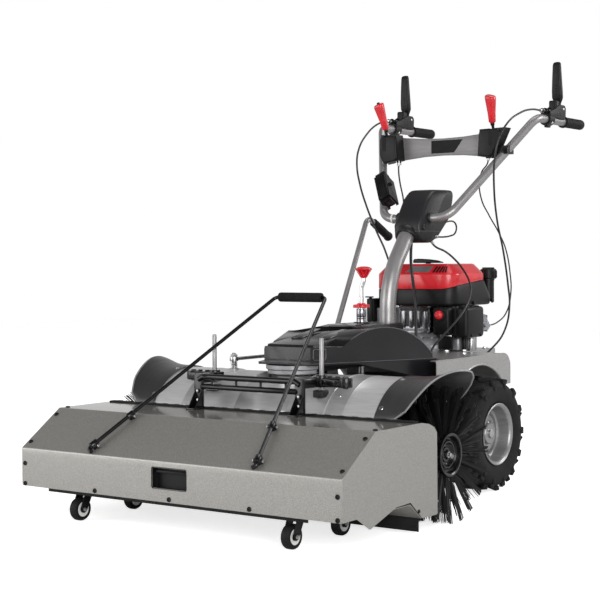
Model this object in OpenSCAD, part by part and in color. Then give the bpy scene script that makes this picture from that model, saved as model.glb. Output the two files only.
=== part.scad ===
// Power brush sweeper: a walk-behind drive unit with a swivelling brush head and a rolling collecting box.
// Millimetres. Y counts from the wheel axle; place() moves everything to the centre of the footprint.

/* [Drive wheels] */
// Outside radius of a tyre, which is also the height of the axle
tyre_r = 165; // [150:1:180]
// Width of a tyre over the sidewalls
tyre_w = 115; // [100:1:125]
// Distance of a tyre's middle from the centre line
wheel_x = 290; // [280:1:310]
// Radius of the rim flange
rim_r = 89; // [80:1:95]
// Radius of the axle shaft
axle_r = 12.5; // [10:0.5:15]
// Tread bars on one side of a tyre
tread_bars = 14; // [10:1:18]

/* [Deck] */
// Half width of the deck
deck_half_w = 286; // [270:1:300]
// Height of the deck's top face
deck_z = 388; // [380:1:400]
// Thickness of the deck sheet
deck_t = 3; // [2:0.5:4]
// Front edge of the deck
deck_front = -250; // [-270:1:-220]
// Radius of the wheel arch
arch_r = 197; // [185:1:205]

/* [Belt drive] */
// Centre of the engine along Y
engine_y = 235; // [215:1:250]
// Underside of the belt
belt_z = 366; // [364:1:368]
// Pitch radius of the engine pulley
small_pulley_r = 34; // [28:1:40]
// Pitch radius of the gearbox pulley
large_pulley_r = 60; // [50:1:66]

/* [Brush] */
// Swivel axis and brush axis along Y
brush_y = -525; // [-535:1:-515]
// Outside radius of the bristles
brush_r = 175; // [165:1:178]
// Gap from the bristle tips to the floor
brush_gap = 0.5; // [0.3:0.1:3]
// Inner end of a brush half
brush_inner_x = 94; // [92:1:100]
// Outer end of a brush half
brush_outer_x = 490; // [470:1:494]
// Radius of the brush core
core_r = 52; // [45:1:58]
// Bristle rows along one half
bristle_rows = 11; // [8:1:12]
// Bristles round one row
bristle_count = 18; // [14:1:20]

/* [Brush cover] */
// Outside radius of the silver cover
cover_r = 188; // [184:1:190]
// Half width of the opening above the gearbox
cover_gap_x = 85; // [84:1:90]
// Outer edge of the silver cover
cover_edge_x = 320; // [310:1:330]
// Outer tip of a wing
wing_tip_x = 512; // [500:1:515]

/* [Collecting box] */
// Half width of the box
box_half_w = 505; // [495:1:515]
// Depth of the box from its front face to the rear edge of the top panel
box_depth = 340; // [320:1:360]
// Depth of the sloping panel
slope_run = 139; // [125:1:150]
// Sheet thickness
sheet_t = 1.5; // [1:0.1:2]
// Height of the fold above the front face
fold_z = 181; // [170:1:190]
// Height of the top panel
box_top_z = 274; // [265:1:280]
// Rear edge of the top panel
top_rear = -706; // [-720:1:-700]
// Height of the floor sheet
floor_z = 84; // [80:1:90]

/* [Casters] */
// Distance of a caster from the side of the box
caster_side = 169; // [155:1:185]
// Swivel axis of the front casters behind the front face
caster_inset = 59; // [50:1:70]
// Distance between the swivel axes of a front and a rear caster
caster_pitch = 168; // [155:1:180]
// Radius of a caster wheel
caster_r = 30; // [26:1:32]
// Offset of the wheel behind its swivel
caster_trail = 18; // [10:1:22]

/* [Lift handle] */
// Radius of the handle rod
lift_r = 5; // [4:0.5:6]
// Half width at the feet
lift_foot_x = 262; // [250:1:270]
// Half width at the grip
lift_grip_x = 83; // [75:1:95]
// Height of the grip
lift_top_z = 566; // [540:1:590]

/* [Handlebar] */
// Radius of the bar
bar_r = 13; // [11:0.5:15]
// Half width at the grips
bar_half_w = 280; // [260:1:300]
// Height of the upper bends
bar_top_z = 1101; // [1080:1:1130]
// Rear end of the grips
bar_end = 690; // [660:1:720]
// Height of the tips of the upright clutch levers
lever_tip_z = 1283; // [1270:1:1300]
// Radius of the steering column
column_r = 24; // [20:1:27]
// Column position along Y
column_y = -46; // [-60:1:-35]

/* [Fits] */
// Radial clearance of a turning fit
run_gap = 0.05; // [0.02:0.01:0.08]
// Clearance between moving pieces that don't bear on each other
free_gap = 0.6; // [0.4:0.1:1]

/* [Hidden] */
$fn = 64;
box_front = top_rear - box_depth;
top_front = box_front + slope_run;
caster_x = box_half_w - caster_side;
caster_front = box_front + caster_inset;
caster_rear = caster_front + caster_pitch;
frame_y = -(box_front + bar_end) / 2;
axle_z = tyre_r;
bead_x = 47;
brush_z = brush_r + brush_gap;
deck_under = deck_z - deck_t;
arm_bottom = 318.5;
arm_top = 336;
neck_r = 30;
belt_h = 14;
belt_t = 8;
belt_mid = belt_z + belt_h / 2;
belt_run = engine_y - brush_y;
belt_lean = asin((large_pulley_r - small_pulley_r) / belt_run);
crank_y = -190;
spindle_r = 9;
stem_r = 14;
support_r = 60;
support_trail = 30;
link_x = -206;
link_z = 393;
lever_x = -193;
lever_y = -68;
lever_pivot_z = 290;
lever_pin_r = 5;
shaft_r = 20;
hub_r = core_r - 6;
guide_r = 6;
guide_x = 176;
guide_y = -648;
hitch_y = top_rear - 22;
incline = atan2(box_top_z - fold_z, top_front - box_front);
column_lean = 39;
bar_cross_y = 112;
bar_cross_z = 792;
bar_bend_x = 112;
bar_top_y = 371;
bar_slope = [bar_half_w - bar_bend_x, bar_top_y - bar_cross_y, bar_top_z - bar_cross_z];
clutch_pivot_y = 528;
clutch_pivot_z = bar_top_z + 37;
clutch_lean = 17;
clutch_len = (lever_tip_z - clutch_pivot_z) / cos(clutch_lean);
shift_x = 190;
shift_y = 268;
shift_z = 1030;
pin_r = 4;
cable_r = 3;
fuel_x = 112;
fuel_y = 372;
spring_turns = 5;
spring_r = 9;
spring_wire = 1;
spring_low = 368;
spring_high = 385.5;
spring_steps = 8 * spring_turns;
spring_coil = [for (i = [0:spring_steps])
  [link_x + spring_r * cos(45 * i), brush_y + spring_r * sin(45 * i),
   spring_low + (spring_high - spring_low) * i / spring_steps]];
spring_route = concat([spring_coil[0] - [0, 2 * spring_wire, 0.1]], spring_coil,
                      [spring_coil[spring_steps] + [0, 2 * spring_wire, 0.1]]);
spring_space = [for (i = [0:spring_steps - 6], j = [i + 6:spring_steps]) norm(spring_coil[j] - spring_coil[i])];
spring_gap = min(spring_space) - 2 * spring_wire;
echo(spring_gap = spring_gap);

// Routes of the control cables: both clutch cables, both shift cables, the throttle lead, the brake and a loop.
route_clutch_left = [[-279, 405, 1126], [-279, 342, 1112], [-272, 260, 1070], [-256, 190, 1017],
                     [-235, 148, 966], [-200, 112, 901], [-165, 92, 837], [-120, 78, 758], [-85, 80, 687],
                     [-64, 86, 604], [-70, 76, 520], [-75, 62, 450], [-75, 56, 410], [-75, 55, 388.4]];
route_clutch_right = [[279, 405, 1126], [278, 340, 1124], [275, 270, 1108], [268, 202, 1073],
                      [256, 168, 1021], [243, 168, 962], [230, 188, 889], [215, 236, 785], [205, 294, 694],
                      [200, 336, 586], [200, 346, 523], [204, 306, 447], [192, 250, 396], [168, 222, 370],
                      [150.4, 216, 368]];
route_shift_right = [[172, 262, 976.4], [171, 258, 960], [164, 233, 932], [160, 226, 900], [159, 239, 853],
                     [157, 292, 803], [155, 362, 748], [152, 415, 695], [148, 452, 615], [144, 464, 561],
                     [138, 448, 500], [132, 392, 466], [126, 335, 458], [126, 326.4, 458]];
route_shift_left = [[-150, 262, 979.6], [-150, 261, 950], [-138, 248, 916], [-112, 222, 872], [-78, 186, 826],
                    [-70, 184, 825], [-62.2, 184, 825]];
route_lead = [[-5, 98, 715.5], [-2, 90, 690], [10, 72, 641], [22, 62, 599], [36, 50, 551], [46, 40, 501],
              [52, 28, 450], [56, 20, 410], [56, 19, 388.4]];
route_brake = [[50, 119, 723], [60, 130, 706], [84, 150, 690], [110, 162, 666], [142, 158, 634],
               [176, 136, 595], [200, 94, 560], [212, 36, 518], [206, -16, 479], [190, -62, 440],
               [178, -96, 405], [176, -100, 388.4]];
route_loop = [[98, 128, 779], [99, 158, 782], [101, 184, 770], [101, 186, 752], [92, 166, 738],
              [80, 132, 734], [70, 128, 735], [62.2, 128, 735]];

module place() {
  translate([0, frame_y, 0])
    children();
}

module both_sides() {
  children();
  mirror([1, 0, 0])
    children();
}

// A box from its low corner to its high corner
module block(low, high) {
  translate(low)
    cube(high - low);
}

// A plate with its outline in Y and Z
module plate_yz(x0, x1, outline) {
  translate([x0, 0, 0])
    rotate([90, 0, 90])
      linear_extrude(x1 - x0)
        polygon(outline);
}

// A plate with its outline in X and Z
module plate_xz(y0, y1, outline) {
  translate([0, y1, 0])
    rotate([90, 0, 0])
      linear_extrude(y1 - y0)
        polygon(outline);
}

module rod_x(x0, x1, y, z, r) {
  translate([x0, y, z])
    rotate([0, 90, 0])
      cylinder(r = r, h = x1 - x0);
}

module rod_y(y0, y1, x, z, r) {
  translate([x, y0, z])
    rotate([-90, 0, 0])
      cylinder(r = r, h = y1 - y0);
}

module rod_z(z0, z1, x, y, r) {
  translate([x, y, z0])
    cylinder(r = r, h = z1 - z0);
}

// A round bar between two points, tapered when r2 is given
module bar(a, b, r, r2 = 0) {
  v = b - a;
  translate(a)
    rotate([0, acos(v.z / norm(v)), atan2(v.y, v.x)])
      cylinder(r1 = r, r2 = r2 > 0 ? r2 : r, h = norm(v));
}

function unit(v) = v / norm(v);
function turn(p, i) = acos(unit(p[i] - p[i - 1]) * unit(p[i + 1] - p[i]));
function trim(p, br, i) = i == 0 || i == len(p) - 1 ? 0 : br * tan(turn(p, i) / 2);

// A bent bar through points, with one bend radius; the straights are a hair thicker and reach into the bends
module bent_bar(p, r, br) {
  for (i = [0:len(p) - 2]) {
    u = unit(p[i + 1] - p[i]);
    a = p[i] + u * (trim(p, br, i) - (i == 0 ? 0 : 1));
    b = p[i + 1] - u * (trim(p, br, i + 1) - (i == len(p) - 2 ? 0 : 1));
    bar(a, b, r);
  }
  for (i = [1:len(p) - 2]) {
    u = unit(p[i] - p[i - 1]);
    w = unit(p[i + 1] - p[i]);
    n = unit(w - u * (u * w));
    c = p[i] - u * trim(p, br, i) + n * br;
    k = cross(-n, u);
    multmatrix([[-n.x, u.x, k.x, c.x], [-n.y, u.y, k.y, c.y], [-n.z, u.z, k.z, c.z], [0, 0, 0, 1]])
      rotate_extrude(angle = turn(p, i))
        translate([br, 0])
          circle(r = r - 0.1);
  }
}

// Direction of a route at one of its points
function heading(p, i) = unit(p[min(i + 1, len(p) - 1)] - p[max(i - 1, 0)]);
function ring(c, t, guide, r, sides) =
  let (a = unit(cross(t, guide)), b = cross(t, a))
  [for (j = [0:sides - 1]) c + r * (a * cos(360 * j / sides) + b * sin(360 * j / sides))];

// A tube swept along a route as one closed skin
module swept(p, r, sides, guide) {
  n = len(p);
  points = [for (i = [0:n - 1]) each ring(p[i], heading(p, i), guide, r, sides)];
  walls = [for (i = [0:n - 2], j = [0:sides - 1])
    [i * sides + j, i * sides + (j + 1) % sides, (i + 1) * sides + (j + 1) % sides, (i + 1) * sides + j]];
  halves = [for (w = walls) each [[w[0], w[2], w[1]], [w[0], w[3], w[2]]]];
  first = [for (j = [0:sides - 1]) j];
  last = [for (j = [sides - 1:-1:0]) (n - 1) * sides + j];
  polyhedron(points = points, faces = concat(halves, [first, last]));
}

// Chassis

module deck_plate() {
  color("silver")
    difference() {
      union() {
        block([-deck_half_w, deck_front, deck_under], [deck_half_w, 95, deck_z]);
        block([-150, 95, deck_under], [150, 345, deck_z]);
        both_sides() {
          block([147, 95, 350], [150, 345, deck_under]);
          plate_yz(150, deck_half_w, [[95, deck_z], [167, 357], [185, 295], [182, 295], [164.6, 354.6],
                                      [94.4, deck_under], [90, deck_under], [90, deck_z]]);
          plate_yz(deck_half_w - deck_t, deck_half_w,
                   [[deck_front, deck_z], [95, deck_z], [167, 357], [185, 295], [-180, 295],
                    [deck_front, 330]]);
        }
        rod_z(deck_under, 526, 0, crank_y, stem_r);
        block([-184, lever_y - 22, 276], [-180, lever_y + 22, deck_under]);
        rod_x(lever_x - 4, -182, lever_y, lever_pivot_z, 8);
      }
      both_sides() {
        rod_x(deck_half_w - 20, deck_half_w + 10, 0, axle_z, arch_r);
        block([100, deck_front - 1, 310], [264, -155, deck_z + 1]);
      }
      block([-222, -165, 380], [-186, 4, deck_z + 1]);
      rod_z(deck_under - 1, 530, 0, crank_y, spindle_r + run_gap);
      rod_z(deck_under - 1, deck_z + 1, 0, engine_y, 16);
    }
}

// Beam and ring that carry the head, with the two cheeks that hang them from the deck
module front_arm() {
  color("dimgray")
    difference() {
      union() {
        block([-36, brush_y + 40, arm_bottom], [36, -96, arm_top]);
        rod_z(arm_bottom, arm_top, 0, brush_y, 62);
        rod_z(285, arm_top, 0, crank_y, 24);
        block([-104, -102, 300], [104, -96, 358]);
        both_sides()
          block([104, -102, 140], [110, 110, deck_under]);
      }
      rod_z(arm_bottom - 1, arm_top + 1, 0, brush_y, neck_r + run_gap);
      rod_z(284, arm_top + 1, 0, crank_y, stem_r + run_gap);
      rod_x(-120, 120, 0, axle_z, 26);
    }
}

module transmission_case() {
  color("dimgray")
    difference() {
      union() {
        block([-104, -60, axle_z], [104, 92, 300]);
        rod_x(-104, 104, 0, axle_z, 66);
        rod_x(-104, 104, 60, axle_z + 20, 46);
        rod_x(-216, 216, 0, axle_z, 25);
      }
      rod_x(-220, 220, 0, axle_z, axle_r + run_gap);
      block([-94, -48, 150], [94, 82, 288]);
    }
}

module cover_body(d) {
  plate_yz(d - 76, 76 - d, [[d - 558, 384], [d - 558, 396], [d - 540, 440 - d], [-463, 449 - d],
                            [-320, 475 - d], [-250, 482 - d], [-88 - d, 482 - d], [-84 - d, 470],
                            [-84 - d, 384]]);
  intersection() {
    translate([0, 0, 384])
      linear_extrude(110)
        polygon([[d - 76, d - 556], [76 - d, d - 556], [238 - d, -192 - d], [d - 238, -192 - d]]);
    union() {
      rod_x(-260, 260, -340, 306, 176 - d);
      block([-260, -560, 380], [260, -440, 434 - d]);
    }
  }
}

module cover_rim(d) {
  linear_extrude(100)
    polygon([[d - 90, d - 565], [90 - d, d - 565], [250 - d, -194], [262 - d, -166],
             [d - 262, -166], [d - 250, -194]]);
}

module belt_cover() {
  color("#2b2a2c")
    difference() {
      union() {
        cover_body(0);
        translate([0, 0, 292])
          cover_rim(0);
      }
      cover_body(2.5);
      translate([0, 0, 289.5])
        cover_rim(2.5);
      plate_yz(-270, 270, [[-570, 280], [-570, 386], [-430, 386], [-160, 322], [-160, 280]]);
      plate_yz(-270, 270, [[-192, 400], [-192, 389], [-160, 318], [-100, 318], [-100, 400]]);
      block([-92, -120, 380], [92, -80, deck_z]);
      block([-228, -350, 300], [-186, -150, 404]);
      rod_z(380, 500, 0, crank_y, stem_r + free_gap);
    }
}

module belt_arc(y, r, start, sweep) {
  translate([0, y, belt_z])
    rotate([0, 0, start])
      rotate_extrude(angle = sweep)
        translate([r - belt_t / 2, 0])
          square([belt_t, belt_h]);
}

module drive_belt() {
  color("#202020") {
    belt_arc(brush_y, large_pulley_r, 180 - belt_lean, 180 + 2 * belt_lean);
    belt_arc(engine_y, small_pulley_r, belt_lean, 180 - 2 * belt_lean);
    both_sides()
      translate([0, brush_y, belt_z])
        rotate([0, 0, belt_lean])
          translate([large_pulley_r - belt_t / 2, 0, 0])
            cube([belt_t, belt_run * cos(belt_lean), belt_h]);
  }
}

// A grooved pulley round the belt
module pulley(r) {
  rotate_extrude()
    polygon([[0, -9], [r + 6, -9], [r + 6, -7.6], [r - 4.6, -7.3], [r - 4.6, 7.3], [r + 6, 7.6],
             [r + 6, 9], [0, 9]]);
}

module engine_pulley() {
  color("gray")
    translate([0, engine_y, belt_mid])
      union() {
        pulley(small_pulley_r);
        cylinder(r = 12, h = 50);
      }
}

module steering_column() {
  lean = [0, sin(column_lean), cos(column_lean)];
  corner = [0, column_y, 605];
  top = corner + lean * 206;
  color("silver")
    difference() {
      union() {
        bent_bar([[0, column_y, deck_z], corner, top], column_r, 250);
        block([-45, column_y - 38, deck_z], [45, column_y + 45, deck_z + 8]);
      }
      bent_bar([[0, column_y, deck_z - 1], corner, top + lean], column_r - 2.5, 250);
    }
}

module console_cover() {
  color("#2a292b")
    difference() {
      plate_yz(-62, 62, [[60, 735], [55, 770], [110, 850], [150, 878], [245, 880], [245, 858], [230, 800],
                         [150, 735], [95, 717]]);
      plate_yz(-59, 59, [[63, 737], [58.2, 769], [112.5, 848], [151, 875], [242, 877], [242, 859],
                         [227.5, 801.5], [148.8, 738], [95, 720.2]]);
      rod_x(-70, 70, bar_cross_y, bar_cross_z, bar_r + free_gap);
      bar([0, column_y, 605], [0, column_y + 130, 605 + 130 / tan(column_lean)], column_r + free_gap);
    }
}

module bar_route(r, over) {
  low = [bar_bend_x, bar_cross_y, bar_cross_z];
  top = [bar_half_w, bar_top_y, bar_top_z];
  end = [bar_half_w, bar_end - 4 + over, bar_top_z];
  bent_bar([[-end.x, end.y, end.z], [-top.x, top.y, top.z], [-low.x, low.y, low.z], low, top, end], r, 60);
}

module handlebar() {
  color("silver")
    difference() {
      bar_route(bar_r, 0);
      bar_route(bar_r - 2, 1);
    }
}

module dash_panel() {
  color("gray")
    plate_xz(288, 291, [[-206, 974], [-140, 986], [-70, 993], [0, 995], [70, 993], [140, 986], [206, 974],
                        [206, 1064], [140, 1053], [70, 1047], [0, 1045], [-70, 1047], [-140, 1053],
                        [-206, 1064]]);
}

module shift_console() {
  difference() {
    union() {
      plate_xz(246, 288, [[143, 982], [192, 974], [236, 1066], [150, 1064]]);
      block([194, 262, 987], [236, 288, 1012]);
      block([206.5, 262, 987], [236, 305, 1012]);
    }
    block([shift_x - 7, 240, 1016], [shift_x + 7, 282, 1070]);
    bar([bar_half_w, bar_top_y, bar_top_z], [bar_bend_x, bar_cross_y, bar_cross_z], bar_r);
  }
  rod_x(shift_x - 8, shift_x + 8, shift_y, shift_z, pin_r);
}

// Ribbed box on the left tube, in line with the tube
module tube_box() {
  u = unit([-bar_slope.x, bar_slope.y, bar_slope.z]);
  w = unit(cross(u, [1, 0, 0]));
  k = cross(u, w);
  c = [-bar_bend_x, bar_cross_y, bar_cross_z] + 68 * u;
  multmatrix([[w.x, k.x, u.x, c.x], [w.y, k.y, u.y, c.y], [w.z, k.z, u.z, c.z], [0, 0, 0, 1]])
    difference() {
      union() {
        block([-48, -20, 0], [8, 20, 104]);
        block([-42, -17, -14], [-12, 17, 118]);
        for (i = [0:4])
          block([-50, -16 + 7 * i, 8], [-46, -13 + 7 * i, 96]);
        rod_y(-28, -10, -30, 60, 6);
      }
      cylinder(r = bar_r, h = 300, center = true);
    }
}

module control_boxes() {
  color("#232224") {
    both_sides()
      shift_console();
    tube_box();
  }
}

module hand_grips() {
  color("#1d1c1e")
    both_sides()
      difference() {
        union() {
          rod_y(562, bar_end, bar_half_w, bar_top_z, 16.5);
          rod_y(556, 562, bar_half_w, bar_top_z, 19);
        }
        rod_y(550, bar_end - 4, bar_half_w, bar_top_z, bar_r);
      }
}

module lever_brackets() {
  color("#1d1c1e")
    both_sides() {
      difference() {
        union() {
          block([bar_half_w - 17, 432, bar_top_z + 4], [bar_half_w + 17, 545, clutch_pivot_z + 12]);
          rod_y(432, 462, bar_half_w, bar_top_z, 18);
          rod_y(405, 432, bar_half_w, clutch_pivot_z - 12, 7);
        }
        rod_y(400, 560, bar_half_w, bar_top_z, bar_r);
        rod_y(400, 440, bar_half_w, clutch_pivot_z - 12, cable_r + 0.2);
        block([bar_half_w - 9, 505, clutch_pivot_z - 14], [bar_half_w + 9, 550, clutch_pivot_z + 20]);
      }
      rod_x(bar_half_w - 12, bar_half_w + 12, clutch_pivot_y, clutch_pivot_z, pin_r);
    }
}

module clutch_lever() {
  translate([bar_half_w, clutch_pivot_y, clutch_pivot_z])
    difference() {
      union() {
        rod_x(-8, 8, 0, 0, 9);
        rotate([clutch_lean, 0, 0])
          plate_xz(-3.5, 3.5, [[-7, 5], [7, 5], [7, 22], [16, 34], [12.5, clutch_len], [-12.5, clutch_len],
                               [-16, 34], [-7, 22]]);
      }
      rod_x(-10, 10, 0, 0, pin_r + run_gap);
    }
}

module clutch_lever_left() {
  color("#262527")
    mirror([1, 0, 0])
      clutch_lever();
}

module clutch_lever_right() {
  color("#262527")
    clutch_lever();
}

module shift_lever() {
  foot = [shift_x, shift_y, shift_z];
  base = [shift_x + 1.5, 251, 1083];
  top = [shift_x + 10, 221, 1162];
  difference() {
    union() {
      rod_x(shift_x - 6, shift_x + 6, shift_y, shift_z, 8);
      bar(foot, base, 4.5);
      bar(base, top, 9, 13);
    }
    rod_x(shift_x - 9, shift_x + 9, shift_y, shift_z, pin_r + run_gap);
    children();
  }
}

// Axis of the button in the left lever's grip
module button_axis() {
  u = unit([8.5, -30, 79]);
  translate([shift_x + 10, 221, 1162])
    rotate([0, acos(u.z), atan2(u.y, u.x)])
      children();
}

module shift_lever_left() {
  color("crimson")
    mirror([1, 0, 0])
      shift_lever()
        button_axis()
          translate([0, 0, -12])
            cylinder(r = 5 + run_gap, h = 20);
}

module shift_lever_right() {
  color("crimson")
    shift_lever();
}

module shift_button() {
  color("#202020")
    mirror([1, 0, 0])
      button_axis()
        translate([0, 0, -7])
          cylinder(r = 5, h = 12);
}

module control_cables() {
  color("#181818") {
    swept(route_clutch_left, cable_r, 8, [1, 0.2, 0]);
    swept(route_clutch_right, cable_r, 8, [1, 0.2, 0]);
    swept(route_shift_right, cable_r - 0.8, 8, [1, 0.1, 0]);
    swept(route_shift_left, cable_r - 0.5, 8, [0.2, 1, 0]);
    swept(route_lead, cable_r, 8, [1, 0, 0]);
    swept(route_brake, cable_r, 8, [0.6, 0.8, 0]);
    swept(route_loop, cable_r, 8, [0.7, -0.7, 0.2]);
  }
}

// Engine

module rounded_block(w, y0, y1, z0, z1, r) {
  translate([0, 0, z0])
    linear_extrude(z1 - z0)
      union() {
        translate([-w, y0 + r])
          square([2 * w, y1 - y0 - 2 * r]);
        translate([-w + r, y0])
          square([2 * w - 2 * r, y1 - y0]);
        for (x = [-w + r, w - r], y = [y0 + r, y1 - r])
          translate([x, y])
            circle(r = r);
      }
}

module engine_crankcase() {
  color("dimgray")
    difference() {
      union() {
        rod_z(deck_z, 404, 0, engine_y, 102);
        block([-92, 150, 404], [92, 325, 522]);
        block([-60, 118, 430], [70, 150, 516]);
        for (i = [0:5])
          block([-66, 122, 436 + 13 * i], [76, 150, 440 + 13 * i]);
        block([-168, 120, 440], [-92, 190, 516]);
        block([-170, 104, 470], [-144, 196, 545]);
        block([92, 322, 440], [134, 326, 492]);
        rod_z(404, 470, 96, 300, 12);
      }
      rod_z(deck_z - 1, 440, 0, engine_y, 12 + run_gap);
    }
}

module engine_parting(low) {
  plate_yz(-150, 150, [[90, low], [90, 576], [140, 576], [180, 583], [220, 594], [260, 599], [380, 600],
                       [380, low]]);
}

module engine_shroud() {
  color("#262527")
    difference() {
      union() {
        intersection() {
          rounded_block(140, 95, 375, 525, 602, 60);
          engine_parting(500);
        }
        rod_z(535, 604, fuel_x, fuel_y, 18);
      }
      rounded_block(137, 98, 372, 524, 610, 57);
      rod_z(541, 610, fuel_x, fuel_y, 13);
    }
}

module engine_cover() {
  color("crimson")
    difference() {
      intersection() {
        rounded_block(140, 95, 375, 570, 653, 60);
        plate_xz(90, 380, [[-140, 560], [-140, 628], [-118, 653], [118, 653], [140, 628], [140, 560]]);
        plate_yz(-145, 145, [[95, 560], [95, 628], [117, 653], [350, 653], [375, 622], [375, 560]]);
      }
      engine_parting(500);
      rounded_block(137, 98, 372, 560, 626, 57);
      rounded_block(116, 119, 348, 620, 650, 40);
      rod_z(560, 660, fuel_x, fuel_y, 24);
      for (i = [0:4])
        block([44 + 11 * i, 150, 648], [49 + 11 * i, 200, 660]);
      rod_z(640, 660, 0, 190, 9);
    }
}

module muffler_guard() {
  color("white")
    difference() {
      block([-38, 70, 445], [76, 118, 525]);
      block([-35, 73, 440], [73, 120, 522]);
      for (i = [0:4])
        block([-26 + 20 * i, 60, 456], [-14 + 20 * i, 80, 514]);
    }
}

module intake() {
  color("#232224")
    difference() {
      union() {
        block([84, 72, 440], [138, 122, 522]);
        block([140, 105, 430], [190, 228, 524]);
        block([92, 112, 450], [142, 200, 510]);
        rod_y(66, 72, 108, 500, 17);
      }
      rod_y(60, 100, 108, 500, 11 + free_gap);
    }
}

module primer_bulb() {
  color("red")
    union() {
      rod_y(66, 86, 108, 500, 11);
      translate([108, 66, 500])
        sphere(r = 11);
    }
}

module recoil_grip() {
  color("#1d1c1e")
    union() {
      block([-50, 178, 657], [50, 202, 669]);
      rod_z(642, 658, 0, 190, 8);
    }
}

module fuel_cap() {
  color("#1d1c1e")
    union() {
      rod_z(604.4, 636, fuel_x, fuel_y, 22);
      rod_z(585, 605, fuel_x, fuel_y, 13 - run_gap);
    }
}

// Drive wheels

module drive_axle() {
  color("gray")
    union() {
      rod_x(-368, 368, 0, axle_z, axle_r);
      both_sides()
        rod_z(axle_z - 24, axle_z + 24, 360, 0, 3);
    }
}

module wheel_rim() {
  rotate_extrude()
    polygon([[axle_r, -44], [30, -44], [30, 4], [76, 10], [76, -bead_x], [rim_r, -bead_x - 5], [rim_r, -bead_x],
             [80, -bead_x], [80, bead_x], [rim_r, bead_x], [rim_r, bead_x + 5], [76, bead_x + 2], [76, 16],
             [30, 12], [30, 62], [axle_r, 62]]);
}

module wheel_rims() {
  color("gray")
    both_sides()
      translate([wheel_x, 0, axle_z])
        rotate([0, 90, 0])
          wheel_rim();
}

module tyre() {
  half = tyre_w / 2;
  crown = tyre_r - 12;
  rotate_extrude()
    polygon([[81, -bead_x], [rim_r + 1, -bead_x], [rim_r + 3, -half + 7], [110, -half + 2], [126, -half],
             [142, -half + 3], [crown, -half + 12], [crown, half - 12], [142, half - 3], [126, half],
             [110, half - 2], [rim_r + 3, half - 7], [rim_r + 1, bead_x], [81, bead_x]]);
  for (i = [0:tread_bars - 1], s = [-1, 1])
    rotate([0, 0, 360 * (i + s / 4) / tread_bars])
      translate([0, 0, s * 26])
        rotate([s * 32, 0, 0])
          translate([crown - 4, -8, -29])
            cube([14.5, 16, 58]);
}

module tyres() {
  color("#161616")
    both_sides()
      translate([wheel_x, 0, axle_z])
        rotate([0, 90, 0])
          tyre();
}

// Height adjuster

module height_crank() {
  kink_low = [0, crank_y, 588];
  kink_high = [7, crank_y + 2, 603];
  color("crimson")
    union() {
      rod_z(215, 540, 0, crank_y, spindle_r);
      rod_z(528, 538, 0, crank_y, 19);
      for (i = [0:7])
        translate([0, crank_y, 528.5])
          rotate([0, 0, 45 * i])
            translate([18, 0, 0])
              cylinder(r = 6, h = 9);
      bar([0, crank_y, 530], kink_low, 6);
      bar(kink_low, kink_high, 5.5);
      bar(kink_high, kink_high + [0, 0, 20], 6);
      for (p = [kink_low, kink_high])
        translate(p)
          sphere(r = 6.5);
      translate([kink_high.x, kink_high.y, 0])
        rotate_extrude()
          polygon([[0, 616], [8, 616], [11, 630], [24, 638], [24, 642], [16, 648], [0, 648]]);
    }
}

module support_stem() {
  color("gray")
    difference() {
      union() {
        rod_z(182, 332, 0, crank_y, stem_r);
        rod_z(182, 190, 0, crank_y, 28);
        rod_z(158, 184, 0, crank_y, 8);
      }
      rod_z(190, 340, 0, crank_y, spindle_r + free_gap);
    }
}

module support_fork() {
  color("dimgray")
    difference() {
      union() {
        rod_z(166, 181, 0, crank_y, 30);
        block([-30, crank_y - 10, 166], [30, crank_y + support_trail + 14, 172]);
        both_sides()
          plate_yz(25, 30, [[crank_y - 10, 172], [crank_y + support_trail - 14, 48],
                            [crank_y + support_trail + 14, 48], [crank_y + support_trail + 14, 172]]);
        rod_x(-34, 34, crank_y + support_trail, support_r, 6);
      }
      rod_z(150, 190, 0, crank_y, 8 + run_gap);
    }
}

module support_wheel() {
  color("#202020")
    translate([-22, crank_y + support_trail, support_r])
      rotate([0, 90, 0])
        difference() {
          cylinder(r = support_r, h = 44);
          translate([0, 0, -1])
            cylinder(r = 6 + run_gap, h = 46);
        }
}

// Angle linkage

module angle_lever() {
  corner = [lever_x, 143.5, 802];
  knee = [lever_x, -51.6, 424];
  color("gray")
    difference() {
      union() {
        plate_yz(lever_x - 3, lever_x + 4,
                 [[lever_y - 12, lever_pivot_z], [lever_y + 12, lever_pivot_z], [lever_y + 12, 400], [-42, 440],
                  [-62, 440], [lever_y - 12, 404]]);
        rod_x(lever_x - 4, lever_x + 4, lever_y, lever_pivot_z, 14);
        rod_x(-214, lever_x, lever_y, link_z, lever_pin_r);
        bent_bar([knee, corner, [lever_x, 265, 741]], 8, 24);
      }
      rod_x(-210, -180, lever_y, lever_pivot_z, 8 + run_gap);
    }
}

module lever_grip() {
  color("#1d1c1e")
    difference() {
      bar([lever_x, 178, 784.7], [lever_x, 272, 737.5], 15);
      bar([lever_x, 160, 793.7], [lever_x, 265, 741], 8);
    }
}

module link_rod() {
  color("gray")
    difference() {
      union() {
        rod_z(link_z - 6, link_z + 6, link_x, brush_y, 12);
        rod_y(brush_y + 8, lever_y - 12, link_x, link_z, 5);
        block([link_x - 2.5, lever_y - 16, link_z - 20], [link_x + 2.5, lever_y + 14, link_z + 12]);
      }
      rod_z(link_z - 10, link_z + 10, link_x, brush_y, guide_r + run_gap);
      block([link_x - 5, lever_y - 7, link_z - 15], [link_x + 5, lever_y + 7, link_z + 7]);
    }
}

// Brush head

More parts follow.
